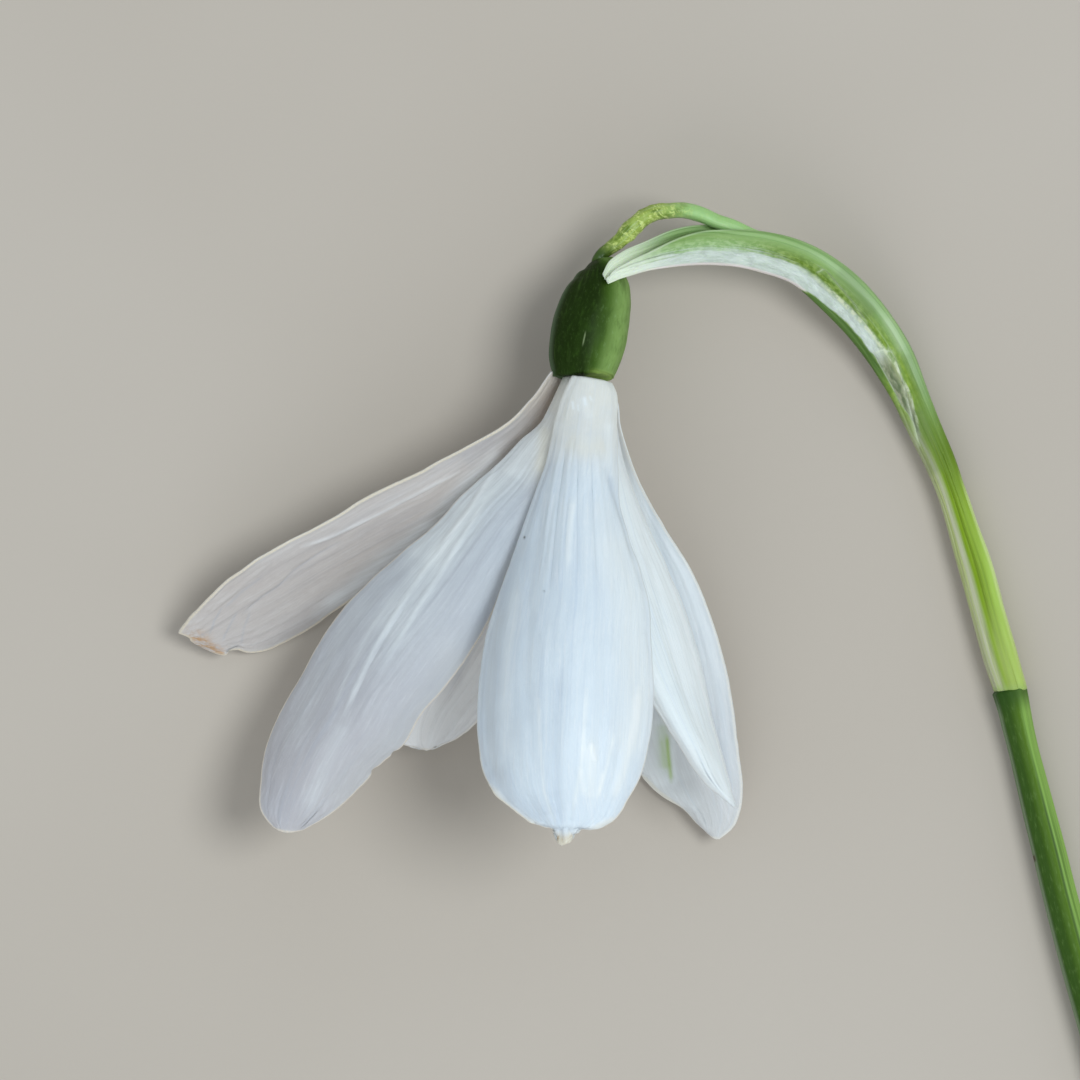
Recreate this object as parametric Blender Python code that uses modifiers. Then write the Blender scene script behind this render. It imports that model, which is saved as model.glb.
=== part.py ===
"""A picked snowdrop flower that lies on a flat surface.

All lengths are in millimetres and are turned into metres when the meshes are
written. The tables below are laid out in the flower's own plan: x to the right
and y upwards as it lies, z up from the surface, with x and y measured from the
receptacle, where the six tepals meet the ovary.
"""

import math

import bmesh
import bpy
import numpy as np

MM = 0.001
PLAN_CENTRE = (7.758, -25.151)  # plan position of the middle of the whole flower
LIFT = 0.03  # added to every height, so that the lowest tepal just meets z = 0

TEPAL_THICKNESS = 0.34
TEPAL_COLUMNS, TEPAL_ROWS = 8, 17
SHEATH_WALL = 0.26
SHEATH_COLUMNS, SHEATH_ROWS = 14, 30
RECEPTACLE_HEIGHT = 6.2
AXIS = (-0.163, -0.974, 0.156)  # from the ovary towards the mouth of the bell
STAMENS = 6
FILAMENT_RING, ANTHER_RING = 0.62, 0.81
FILAMENT_RADIUS, ANTHER_RADIUS = 0.14, 0.28
STAMEN_LENGTH = 7.0
STYLE_LENGTH = 8.0
STYLE_RADIUS = 0.22

# Each tepal: pairs of edge points (left x, y, right x, y) from claw to tip, then
# the heights of its left edge, midrib and right edge at DEPTH_STEPS of its length.
DEPTH_STEPS = (0, 0.1, 0.25, 0.45, 0.65, 0.85, 1)
TEPALS = {
    "tepal_outer_front": (
        (
            (-0.56, 0.19, 1.74, -0.22),
            (-0.96, -0.62, 2, -0.79),
            (-1.5, -2.23, 2.03, -2.41),
            (-2.06, -4.78, 2.09, -4.93),
            (-2.91, -7.21, 2.21, -7.32),
            (-3.95, -10.14, 2.92, -9.78),
            (-4.97, -13.01, 3.89, -13.18),
            (-5.71, -15.57, 4.05, -15.57),
            (-6.13, -18.55, 4.2, -18.55),
            (-6.16, -21.53, 3.97, -21.52),
            (-5.7, -23.79, 3.38, -23.72),
            (-4.86, -24.91, 2.66, -25.09),
            (-3.74, -25.83, 1.86, -26.21),
            (-2.52, -26.66, 0.58, -26.83),
            (-1.75, -27.04, -0.32, -27.13),
        ),
        ((7.8, 7.97, 7.2), (8.3, 9.05, 7.7), (8.95, 10.6, 8.7), (9.6, 12.6, 9.8), (10.6, 14.2, 11), (12, 14.9, 12.6), (13.8, 14, 13.8)),
    ),
    "tepal_inner_left": (
        (
            (-1.08, 0.18, -0.12, -0.01),
            (-1.62, -1.02, -0.51, -1.36),
            (-2.34, -2.46, -1.02, -3.31),
            (-3.6, -3.6, -1.5, -5.65),
            (-5.1, -5.16, -2.28, -7.8),
            (-6.84, -6.66, -3.39, -9.42),
            (-8.82, -8.76, -4.26, -11.09),
            (-10.93, -10.53, -5.09, -13.25),
            (-12.73, -12.12, -6.05, -15.23),
            (-14.23, -13.68, -7.19, -17.02),
            (-15.61, -15.6, -8.39, -18.58),
            (-16.81, -17.77, -9.65, -19.96),
            (-17.95, -19.75, -10.67, -21.76),
            (-18.79, -21.66, -11.99, -22.91),
            (-19.23, -24, -13.91, -24.95),
            (-19.07, -26.09, -15.71, -26.35),
            (-18.47, -26.8, -16.73, -26.92),
        ),
        ((6.45, 7.1, 7.3), (6.5, 7.7, 8.15), (5.9, 8.05, 8.35), (5.3, 8.2, 8.2), (5.1, 8.4, 7.8), (5.5, 8.2, 6.9), (6.8, 7, 6.8)),
    ),
    "tepal_outer_left": (
        (
            (-1.84, 0.47, -1.17, -0.02),
            (-2.28, -0.07, -1.26, -1.07),
            (-3.06, -1.17, -1.8, -2.51),
            (-4.14, -2.26, -2.82, -4.19),
            (-6, -3.48, -4.2, -6.11),
            (-7.92, -4.5, -5.95, -8.09),
            (-9.78, -5.49, -7.82, -9.9),
            (-11.7, -6.36, -9.75, -11.1),
            (-13.56, -7.35, -11.5, -12.01),
            (-15.3, -8.46, -13.13, -12.73),
            (-17.05, -9.36, -14.88, -13.82),
            (-18.55, -10.14, -16.34, -14.85),
            (-20.06, -11.1, -17.85, -15.69),
            (-21.63, -12.24, -19.29, -16.3),
            (-23.03, -13.63, -20.49, -16.35),
            (-23.9, -14.72, -22.05, -16.35),
            (-23.96, -15.2, -23.02, -15.87),
        ),
        ((6.87, 5.85, 4.94), (6.7, 5.3, 4.4), (6.4, 4.5, 3.4), (6, 3.6, 2.2), (5.5, 2.6, 0.95), (4.8, 2, 0.22), (2, 1.8, 1.3)),
    ),
    "tepal_inner_back": (
        (
            (-0.9, -0.02, 0.3, -0.23),
            (-1.2, -1.19, 0.36, -1.31),
            (-1.92, -2.99, 0.36, -3.23),
            (-3.3, -5.69, 0.25, -5.99),
            (-4.92, -8.4, -0.11, -9),
            (-6.73, -11.1, -0.83, -12),
            (-8.54, -13.69, -1.8, -14.9),
            (-10.05, -16.22, -3, -16.94),
            (-11.07, -18.45, -4.45, -18.76),
            (-11.56, -20.15, -5.89, -20.09),
            (-11.32, -21.42, -7.04, -21.18),
            (-10.6, -21.96, -8.01, -21.78),
            (-9.82, -22.14, -8.85, -22.11),
        ),
        ((5.53, 5.13, 5.13), (5.1, 4.7, 4.8), (4.5, 3.9, 4.5), (4.4, 3.8, 4.3), (4.2, 3.5, 4.1), (3.6, 3.0, 3.4), (2.6, 2.5, 2.6)),
    ),
    "tepal_inner_right": (
        (
            (0.72, -0.22, 1.08, -0.36),
            (0.84, -1.21, 1.8, -1.2),
            (0.96, -2.71, 2.04, -2.88),
            (1.01, -4.51, 2.34, -4.68),
            (0.95, -6.6, 3.06, -6.72),
            (1.01, -9, 3.9, -8.82),
            (1.31, -11.39, 4.98, -11.16),
            (1.85, -13.9, 6.06, -13.68),
            (2.74, -16.47, 6.9, -16.32),
            (3.88, -18.69, 7.5, -19.02),
            (4.9, -20.36, 7.98, -21.18),
            (5.92, -21.99, 8.4, -22.62),
            (6.94, -23.55, 8.76, -24.12),
            (7.91, -24.58, 9, -24.95),
            (8.81, -25.31, 9.2, -25.55),
        ),
        ((7.02, 6.5, 5.8), (7.35, 7.05, 5.95), (8.1, 7.9, 6.1), (9.2, 8.9, 6), (9.6, 9.2, 5.8), (8.8, 8.7, 5.9), (6.7, 6.7, 6.5)),
    ),
    "tepal_outer_right": (
        (
            (0.24, -0.34, 1.71, -0.45),
            (0.37, -1.18, 2.1, -1.26),
            (0.49, -2.69, 2.28, -2.69),
            (0.61, -4.49, 2.82, -4.49),
            (0.67, -6.59, 3.67, -6.6),
            (0.73, -9, 5.05, -9),
            (0.91, -11.71, 6.61, -11.52),
            (1.1, -14.42, 7.76, -14.28),
            (1.34, -17.13, 8.57, -16.99),
            (1.82, -19.55, 9.08, -19.69),
            (2.61, -21.96, 9.44, -22.64),
            (3.63, -23.71, 9.66, -24.45),
            (4.84, -24.91, 9.52, -25.85),
            (6.1, -25.69, 9.1, -26.88),
            (6.94, -26.6, 8.63, -27.31),
            (7.61, -27.26, 8.27, -27.59),
        ),
        ((4.5, 4.9, 5.81), (4.25, 4.6, 5.3), (3.4, 4.0, 4.5), (2.3, 3.3, 3.6), (1.3, 2.6, 3.0), (0.65, 1.9, 2.5), (1.3, 1.6, 1.6)),
    ),
}
# Spathe: outer edge x, y, inner edge x, y, height of the middle, half its thickness.
SHEATH = (
    (26.84, -18.28, 24.73, -18.46, 1.15, 1.05),
    (26.24, -16.05, 24.07, -16.53, 1.12, 1),
    (25.52, -13.64, 23.41, -14.06, 1.08, 0.98),
    (24.8, -10.98, 22.74, -11.59, 1.05, 0.96),
    (24.01, -8.81, 22.14, -9.42, 1.05, 0.96),
    (23.23, -6.58, 21.48, -7.19, 1.05, 0.96),
    (22.5, -4.47, 20.69, -5.2, 1.05, 0.96),
    (21.66, -2.36, 19.79, -3.39, 1.07, 0.97),
    (20.69, 0.05, 18.76, -1.28, 1.15, 1),
    (19.6, 2.64, 17.55, 0.59, 1.38, 1),
    (17.97, 4.98, 16.04, 2.57, 1.85, 1),
    (16.15, 6.78, 14.34, 4.31, 2.4, 0.98),
    (14.03, 8.16, 12.53, 5.81, 3, 0.98),
    (11.91, 8.93, 10.83, 6.4, 3.62, 0.98),
    (9.56, 9.27, 8.96, 6.81, 4.25, 0.97),
    (7.15, 9.47, 7.09, 6.86, 4.9, 0.9),
    (5.4, 9.13, 5.4, 6.7, 5.5, 0.75),
    (3.84, 8.46, 4.08, 6.51, 6.15, 0.6),
    (2.34, 7.79, 2.94, 6.2, 6.85, 0.45),
    (1.55, 7.18, 2.21, 5.98, 7.35, 0.38),
    (1.19, 6.45, 1.61, 5.68, 7.7, 0.33),
)

# Stalks: x, y, height of the centre, radius.
PEDICEL = (
    (25.7, -17.98, 1.14, 0.5),
    (24.73, -14.72, 1.1, 0.47),
    (23.71, -11.29, 1.06, 0.45),
    (22.62, -7.79, 1.05, 0.45),
    (21.54, -4.59, 1.05, 0.45),
    (20.27, -1.46, 1.1, 0.45),
    (18.76, 1.61, 1.4, 0.45),
    (17.06, 4.08, 1.9, 0.45),
    (15.24, 6.06, 2.4, 0.45),
    (13.25, 7.55, 3, 0.45),
    (11.19, 8.56, 3.68, 0.44),
    (9.56, 9.1, 4.22, 0.44),
    (8.06, 9.54, 4.62, 0.45),
    (7.15, 9.93, 4.75, 0.47),
    (6.31, 10.17, 4.8, 0.48),
    (5.23, 10.19, 4.85, 0.48),
    (4.39, 10.07, 4.88, 0.5),
    (3.67, 9.74, 4.9, 0.52),
    (3.07, 9.23, 4.93, 0.55),
    (2.41, 8.54, 4.97, 0.5),
    (1.74, 7.97, 5, 0.42),
    (1.2, 7.55, 5.03, 0.38),
)
SCAPE = (
    (25.79, -18.67, 1.2, 1.08),
    (25.97, -19.37, 1.15, 1),
    (26.3, -20.87, 1.05, 0.93),
    (26.65, -22.32, 1, 0.9),
    (27.09, -24.07, 1, 0.93),
    (27.57, -26, 1.02, 0.97),
    (28.14, -28.23, 1.03, 1),
    (28.74, -30.7, 1.05, 1.02),
    (29.38, -33.17, 1.06, 1.04),
    (30.1, -35.83, 1.07, 1.05),
    (30.88, -38.54, 1.08, 1.06),
    (32.45, -43.66, 1.1, 1.08),
    (34.26, -49.09, 1.12, 1.1),
    (36.25, -54.82, 1.14, 1.12),
    (38.42, -60.54, 1.16, 1.15),
)
OVARY = (
    (1.05, 7.19, 5.08, 0.45),
    (1.08, 7.01, 5.1, 0.95),
    (1.11, 6.62, 5.15, 1.4),
    (1.17, 5.95, 5.25, 1.78),
    (0.9, 5.11, 5.38, 2.03),
    (0.66, 4.27, 5.52, 2.2),
    (0.54, 3.49, 5.64, 2.3),
    (0.42, 2.76, 5.76, 2.33),
    (0.31, 2.07, 5.87, 2.3),
    (0.2, 1.38, 5.98, 2.2),
    (0.11, 0.78, 6.07, 2.05),
    (0.01, 0.24, 6.16, 1.85),
)

COLOURS = {
    "tepal": ((0.80, 0.85, 0.88), 0.45),
    "ovary": ((0.05, 0.11, 0.02), 0.4),
    "pedicel": ((0.30, 0.42, 0.12), 0.35),
    "spathe": ((0.36, 0.48, 0.22), 0.45),
    "scape": ((0.16, 0.27, 0.06), 0.45),
    "stamen": ((0.85, 0.50, 0.10), 0.6),
    "style": ((0.80, 0.85, 0.62), 0.5),
}


def smooth_curve(at, steps, values):
    """Cubic Hermite curve through values at steps, read at the positions at."""
    steps, values = np.asarray(steps, float), np.asarray(values, float)
    slope = np.gradient(values, steps, axis=0)
    at = np.atleast_1d(np.asarray(at, float))
    i = np.clip(np.searchsorted(steps, at, side="right") - 1, 0, len(steps) - 2)
    h = steps[i + 1] - steps[i]
    t = (at - steps[i]) / h
    shape = (slice(None),) + (None,) * (values.ndim - 1)
    t, h = t[shape], h[shape]
    return (
        (2 * t**3 - 3 * t**2 + 1) * values[i]
        + (t**3 - 2 * t**2 + t) * h * slope[i]
        + (3 * t**2 - 2 * t**3) * values[i + 1]
        + (t**3 - t**2) * h * slope[i + 1]
    )


def length_steps(points):
    """Position of each point along its polyline, from 0 to 1."""
    run = np.cumsum(np.linalg.norm(np.diff(points, axis=0), axis=1))
    return np.concatenate([[0.0], run]) / run[-1]


def placed(points):
    """Plan millimetres to world metres."""
    shift = np.array([-PLAN_CENTRE[0], -PLAN_CENTRE[1], LIFT])
    return (np.asarray(points, float) + shift) * MM


def tepal_surface(name, u, v):
    """Point of a tepal: u across from -1 (left) to 1 (right), v from claw to tip."""
    pairs, depths = TEPALS[name]
    pairs = np.array(pairs)
    along = length_steps((pairs[:, :2] + pairs[:, 2:]) / 2)
    edges = smooth_curve(v, along, pairs)
    heights = smooth_curve(v, DEPTH_STEPS, depths)
    left, right = edges[:, :2], edges[:, 2:]
    plan = (left + right) / 2 + u[:, None] * (right - left) / 2
    low, mid, high = heights[:, 0], heights[:, 1], heights[:, 2]
    z = mid + u * (high - low) / 2 + u**2 * ((low + high) / 2 - mid)
    return np.column_stack([plan, z])


def sheath_surface(u, v):
    """Point of the spathe: u from -1 (rear valve's margin) over 0 (the membrane on
    the hollow side of the arch) to 1 (front valve's margin), v from base to tip."""
    rows = np.array(SHEATH)
    along = length_steps((rows[:, :2] + rows[:, 2:4]) / 2)
    row = smooth_curve(v, along, rows)
    outer, inner = row[:, :2], row[:, 2:4]
    across = inner - outer
    half = np.linalg.norm(across, axis=1) / 2
    across /= 2 * half[:, None]
    open_part = np.clip((v - 0.42) / 0.25, 0, 1)
    open_part = open_part**2 * (3 - 2 * open_part)
    front = np.radians(168 - 36 * open_part)
    rear = np.radians(168 - 16 * open_part)
    flatness = 0.75 - 0.5 * open_part
    angle = np.where(u > 0, u * front, u * rear)
    reach = (half - SHEATH_WALL / 2) * np.cos(angle)
    plan = (outer + inner) / 2 + reach[:, None] * across
    rise = np.sign(angle) * np.abs(np.sin(angle)) ** flatness
    return np.column_stack([plan, row[:, 4] + (row[:, 5] - SHEATH_WALL / 2) * rise])


def flower_material(kind):
    made = bpy.data.materials.get(kind)
    if made is None:
        made = bpy.data.materials.new(kind)
        made.use_nodes = True
        colour, roughness = COLOURS[kind]
        shader = made.node_tree.nodes["Principled BSDF"]
        shader.inputs["Base Color"].default_value = (*colour, 1)
        shader.inputs["Roughness"].default_value = roughness
        shader.inputs["Metallic"].default_value = 0
    return made


def sheet(name, kind, columns, rows, surface, thickness, collection):
    """A grid bent onto a surface and given its thickness."""
    mesh = bpy.data.meshes.new(name)
    bm = bmesh.new()
    bmesh.ops.create_grid(bm, x_segments=columns, y_segments=rows, size=1)
    flat = np.array([vert.co[:2] for vert in bm.verts])
    points = placed(surface(flat[:, 0], (flat[:, 1] + 1) / 2))
    for vert, point in zip(bm.verts, points):
        vert.co = point
    bm.to_mesh(mesh)
    bm.free()
    mesh.shade_smooth()
    obj = bpy.data.objects.new(name, mesh)
    collection.objects.link(obj)
    obj.data.materials.append(flower_material(kind))
    solid = obj.modifiers.new("Thickness", "SOLIDIFY")
    solid.thickness = thickness * MM
    solid.offset = 0
    solid.use_even_offset = False
    return obj


def tube(name, kind, points, radii, sides, collection):
    """A round stalk with filled ends: a curve whose bevel follows the radii."""
    data = bpy.data.curves.new(name, "CURVE")
    data.dimensions = "3D"
    data.bevel_depth = MM
    data.bevel_resolution = (sides - 4) // 2
    data.use_fill_caps = True
    spline = data.splines.new("POLY")
    spline.points.add(len(points) - 1)
    for point, place, radius in zip(spline.points, placed(points), radii):
        point.co = (*place, 1)
        point.radius = radius
    spline.use_smooth = True
    obj = bpy.data.objects.new(name, data)
    collection.objects.link(obj)
    data.materials.append(flower_material(kind))
    return obj


def stalk(name, kind, table, count, sides, collection):
    table = np.array(table)
    row = smooth_curve(np.linspace(0, 1, count), length_steps(table[:, :3]), table)
    return tube(name, kind, row[:, :3], row[:, 3], sides, collection)


def on_axis(distance, ring, angle):
    """Point at a distance down the bell's axis and a ring radius round it."""
    axis = np.array(AXIS) / np.linalg.norm(AXIS)
    side = np.cross((0.0, 0.0, 1.0), axis)
    side /= np.linalg.norm(side)
    front = np.cross(axis, side)
    away = math.sin(angle) * side + math.cos(angle) * front
    return np.array([0, 0, RECEPTACLE_HEIGHT]) + distance * axis + ring * away


def build():
    for obj in list(bpy.data.objects):
        bpy.data.objects.remove(obj, do_unlink=True)
    flower = bpy.data.collections.new("snowdrop_flower")
    bpy.context.scene.collection.children.link(flower)

    stalk("scape", "scape", SCAPE, 22, 12, flower)
    sheet(
        "spathe",
        "spathe",
        SHEATH_COLUMNS,
        SHEATH_ROWS,
        sheath_surface,
        SHEATH_WALL,
        flower,
    )
    stalk("pedicel", "pedicel", PEDICEL, 36, 8, flower)
    stalk("ovary", "ovary", OVARY, 14, 20, flower)

    for name in TEPALS:

        def surface(u, s, name=name):
            return tepal_surface(name, u, 1 - (1 - s) ** 1.5)

        sheet(
            name,
            "tepal",
            TEPAL_COLUMNS,
            TEPAL_ROWS,
            surface,
            TEPAL_THICKNESS,
            flower,
        )

    for k in range(STAMENS):
        angle = math.radians(8 + 360 / STAMENS * k)
        # distance down the axis, ring radius, own radius
        profile = (
            (0.35, FILAMENT_RING, FILAMENT_RADIUS),
            (1.1, FILAMENT_RING + 0.1, FILAMENT_RADIUS),
            (1.6, ANTHER_RING - 0.05, FILAMENT_RADIUS),
            (1.9, ANTHER_RING, 0.9 * ANTHER_RADIUS),
            (2.6, ANTHER_RING, ANTHER_RADIUS),
            (4.2, ANTHER_RING - 0.02, 0.8 * ANTHER_RADIUS),
            (5.8, ANTHER_RING - 0.06, 0.5 * ANTHER_RADIUS),
            (STAMEN_LENGTH, ANTHER_RING - 0.1, 0.2 * ANTHER_RADIUS),
        )
        points = [on_axis(distance, ring, angle) for distance, ring, _ in profile]
        radii = [radius for _, _, radius in profile]
        tube(f"stamen_{k + 1}", "stamen", points, radii, 8, flower)

    profile = (
        (0.35, STYLE_RADIUS),
        (3.0, 0.9 * STYLE_RADIUS),
        (6.0, STYLE_RADIUS),
        (7.4, 1.1 * STYLE_RADIUS),
        (STYLE_LENGTH, 0.6 * STYLE_RADIUS),
    )
    points = [on_axis(distance, 0, 0) for distance, _ in profile]
    tube("style", "style", points, [radius for _, radius in profile], 8, flower)


build()
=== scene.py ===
"""Looks of the picked snowdrop: every CAD node is replaced by a finely made piece."""

import math

import bpy
import numpy as np
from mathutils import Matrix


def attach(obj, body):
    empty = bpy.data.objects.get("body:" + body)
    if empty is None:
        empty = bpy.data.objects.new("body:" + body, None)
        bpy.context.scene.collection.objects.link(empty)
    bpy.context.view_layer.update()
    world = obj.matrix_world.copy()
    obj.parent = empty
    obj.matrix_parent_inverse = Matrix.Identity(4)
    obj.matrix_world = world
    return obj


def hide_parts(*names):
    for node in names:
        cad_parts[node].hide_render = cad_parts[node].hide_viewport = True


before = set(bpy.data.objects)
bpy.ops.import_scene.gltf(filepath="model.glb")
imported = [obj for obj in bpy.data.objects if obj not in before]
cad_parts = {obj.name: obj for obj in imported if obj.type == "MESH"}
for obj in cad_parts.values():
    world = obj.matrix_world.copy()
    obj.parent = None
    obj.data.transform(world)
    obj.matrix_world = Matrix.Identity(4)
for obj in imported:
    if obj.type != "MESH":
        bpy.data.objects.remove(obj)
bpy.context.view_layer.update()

MM = 0.001
PLAN_CENTRE = (7.758, -25.151)
LIFT = 0.03
RECEPTACLE = np.array([0.0, 0.0, 6.2])
AXIS = np.array([-0.163, -0.974, 0.156])
AXIS /= np.linalg.norm(AXIS)
DEPTH_STEPS = (0, 0.1, 0.25, 0.45, 0.65, 0.85, 1)

TEPALS = {
    "tepal_outer_front": (
        (
            (-0.56, 0.19, 1.74, -0.22),
            (-0.96, -0.62, 2, -0.79),
            (-1.5, -2.23, 2.03, -2.41),
            (-2.06, -4.78, 2.09, -4.93),
            (-2.91, -7.21, 2.21, -7.32),
            (-3.95, -10.14, 2.92, -9.78),
            (-4.97, -13.01, 3.89, -13.18),
            (-5.71, -15.57, 4.05, -15.57),
            (-6.13, -18.55, 4.2, -18.55),
            (-6.16, -21.53, 3.97, -21.52),
            (-5.7, -23.79, 3.38, -23.72),
            (-4.86, -24.91, 2.66, -25.09),
            (-3.74, -25.83, 1.86, -26.21),
            (-2.52, -26.66, 0.58, -26.83),
            (-1.75, -27.04, -0.32, -27.13),
        ),
        ((7.8, 7.97, 7.2), (8.3, 9.05, 7.7), (8.95, 10.6, 8.7), (9.6, 12.6, 9.8), (10.6, 14.2, 11), (12, 14.9, 12.6), (13.8, 14, 13.8)),
    ),
    "tepal_inner_left": (
        (
            (-1.08, 0.18, -0.12, -0.01),
            (-1.62, -1.02, -0.51, -1.36),
            (-2.34, -2.46, -1.02, -3.31),
            (-3.6, -3.6, -1.5, -5.65),
            (-5.1, -5.16, -2.28, -7.8),
            (-6.84, -6.66, -3.39, -9.42),
            (-8.82, -8.76, -4.26, -11.09),
            (-10.93, -10.53, -5.09, -13.25),
            (-12.73, -12.12, -6.05, -15.23),
            (-14.23, -13.68, -7.19, -17.02),
            (-15.61, -15.6, -8.39, -18.58),
            (-16.81, -17.77, -9.65, -19.96),
            (-17.95, -19.75, -10.67, -21.76),
            (-18.79, -21.66, -11.99, -22.91),
            (-19.23, -24, -13.91, -24.95),
            (-19.07, -26.09, -15.71, -26.35),
            (-18.47, -26.8, -16.73, -26.92),
        ),
        ((6.45, 7.1, 7.3), (6.5, 7.7, 8.15), (5.9, 8.05, 8.35), (5.3, 8.2, 8.2), (5.1, 8.4, 7.8), (5.5, 8.2, 6.9), (6.8, 7, 6.8)),
    ),
    "tepal_outer_left": (
        (
            (-1.84, 0.47, -1.17, -0.02),
            (-2.28, -0.07, -1.26, -1.07),
            (-3.06, -1.17, -1.8, -2.51),
            (-4.14, -2.26, -2.82, -4.19),
            (-6, -3.48, -4.2, -6.11),
            (-7.92, -4.5, -5.95, -8.09),
            (-9.78, -5.49, -7.82, -9.9),
            (-11.7, -6.36, -9.75, -11.1),
            (-13.56, -7.35, -11.5, -12.01),
            (-15.3, -8.46, -13.13, -12.73),
            (-17.05, -9.36, -14.88, -13.82),
            (-18.55, -10.14, -16.34, -14.85),
            (-20.06, -11.1, -17.85, -15.69),
            (-21.63, -12.24, -19.29, -16.3),
            (-23.03, -13.63, -20.49, -16.35),
            (-23.9, -14.72, -22.05, -16.35),
            (-23.96, -15.2, -23.02, -15.87),
        ),
        ((6.87, 5.85, 4.94), (6.7, 5.3, 4.4), (6.4, 4.5, 3.4), (6, 3.6, 2.2), (5.5, 2.6, 0.95), (4.8, 2, 0.22), (2, 1.8, 1.3)),
    ),
    "tepal_inner_back": (
        (
            (-0.9, -0.02, 0.3, -0.23),
            (-1.2, -1.19, 0.36, -1.31),
            (-1.92, -2.99, 0.36, -3.23),
            (-3.3, -5.69, 0.25, -5.99),
            (-4.92, -8.4, -0.11, -9),
            (-6.73, -11.1, -0.83, -12),
            (-8.54, -13.69, -1.8, -14.9),
            (-10.05, -16.22, -3, -16.94),
            (-11.07, -18.45, -4.45, -18.76),
            (-11.56, -20.15, -5.89, -20.09),
            (-11.32, -21.42, -7.04, -21.18),
            (-10.6, -21.96, -8.01, -21.78),
            (-9.82, -22.14, -8.85, -22.11),
        ),
        ((5.53, 5.13, 5.13), (5.1, 4.7, 4.8), (4.5, 3.9, 4.5), (4.4, 3.8, 4.3), (4.2, 3.5, 4.1), (3.6, 3.0, 3.4), (2.6, 2.5, 2.6)),
    ),
    "tepal_inner_right": (
        (
            (0.72, -0.22, 1.08, -0.36),
            (0.84, -1.21, 1.8, -1.2),
            (0.96, -2.71, 2.04, -2.88),
            (1.01, -4.51, 2.34, -4.68),
            (0.95, -6.6, 3.06, -6.72),
            (1.01, -9, 3.9, -8.82),
            (1.31, -11.39, 4.98, -11.16),
            (1.85, -13.9, 6.06, -13.68),
            (2.74, -16.47, 6.9, -16.32),
            (3.88, -18.69, 7.5, -19.02),
            (4.9, -20.36, 7.98, -21.18),
            (5.92, -21.99, 8.4, -22.62),
            (6.94, -23.55, 8.76, -24.12),
            (7.91, -24.58, 9, -24.95),
            (8.81, -25.31, 9.2, -25.55),
        ),
        ((7.02, 6.5, 5.8), (7.35, 7.05, 5.95), (8.1, 7.9, 6.1), (9.2, 8.9, 6), (9.6, 9.2, 5.8), (8.8, 8.7, 5.9), (6.7, 6.7, 6.5)),
    ),
    "tepal_outer_right": (
        (
            (0.24, -0.34, 1.71, -0.45),
            (0.37, -1.18, 2.1, -1.26),
            (0.49, -2.69, 2.28, -2.69),
            (0.61, -4.49, 2.82, -4.49),
            (0.67, -6.59, 3.67, -6.6),
            (0.73, -9, 5.05, -9),
            (0.91, -11.71, 6.61, -11.52),
            (1.1, -14.42, 7.76, -14.28),
            (1.34, -17.13, 8.57, -16.99),
            (1.82, -19.55, 9.08, -19.69),
            (2.61, -21.96, 9.44, -22.64),
            (3.63, -23.71, 9.66, -24.45),
            (4.84, -24.91, 9.52, -25.85),
            (6.1, -25.69, 9.1, -26.88),
            (6.94, -26.6, 8.63, -27.31),
            (7.61, -27.26, 8.27, -27.59),
        ),
        ((4.5, 4.9, 5.81), (4.25, 4.6, 5.3), (3.4, 4.0, 4.5), (2.3, 3.3, 3.6), (1.3, 2.6, 3.0), (0.65, 1.9, 2.5), (1.3, 1.6, 1.6)),
    ),
}
# Spathe: outer edge x, y, inner edge x, y, height of the middle, half its thickness.
SHEATH = (
    (26.84, -18.28, 24.73, -18.46, 1.15, 1.05),
    (26.24, -16.05, 24.07, -16.53, 1.12, 1),
    (25.52, -13.64, 23.41, -14.06, 1.08, 0.98),
    (24.8, -10.98, 22.74, -11.59, 1.05, 0.96),
    (24.01, -8.81, 22.14, -9.42, 1.05, 0.96),
    (23.23, -6.58, 21.48, -7.19, 1.05, 0.96),
    (22.5, -4.47, 20.69, -5.2, 1.05, 0.96),
    (21.66, -2.36, 19.79, -3.39, 1.07, 0.97),
    (20.69, 0.05, 18.76, -1.28, 1.15, 1),
    (19.6, 2.64, 17.55, 0.59, 1.38, 1),
    (17.97, 4.98, 16.04, 2.57, 1.85, 1),
    (16.15, 6.78, 14.34, 4.31, 2.4, 0.98),
    (14.03, 8.16, 12.53, 5.81, 3, 0.98),
    (11.91, 8.93, 10.83, 6.4, 3.62, 0.98),
    (9.56, 9.27, 8.96, 6.81, 4.25, 0.97),
    (7.15, 9.47, 7.09, 6.86, 4.9, 0.9),
    (5.4, 9.13, 5.4, 6.7, 5.5, 0.75),
    (3.84, 8.46, 4.08, 6.51, 6.15, 0.6),
    (2.34, 7.79, 2.94, 6.2, 6.85, 0.45),
    (1.55, 7.18, 2.21, 5.98, 7.35, 0.38),
    (1.19, 6.45, 1.61, 5.68, 7.7, 0.33),
)

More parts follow.
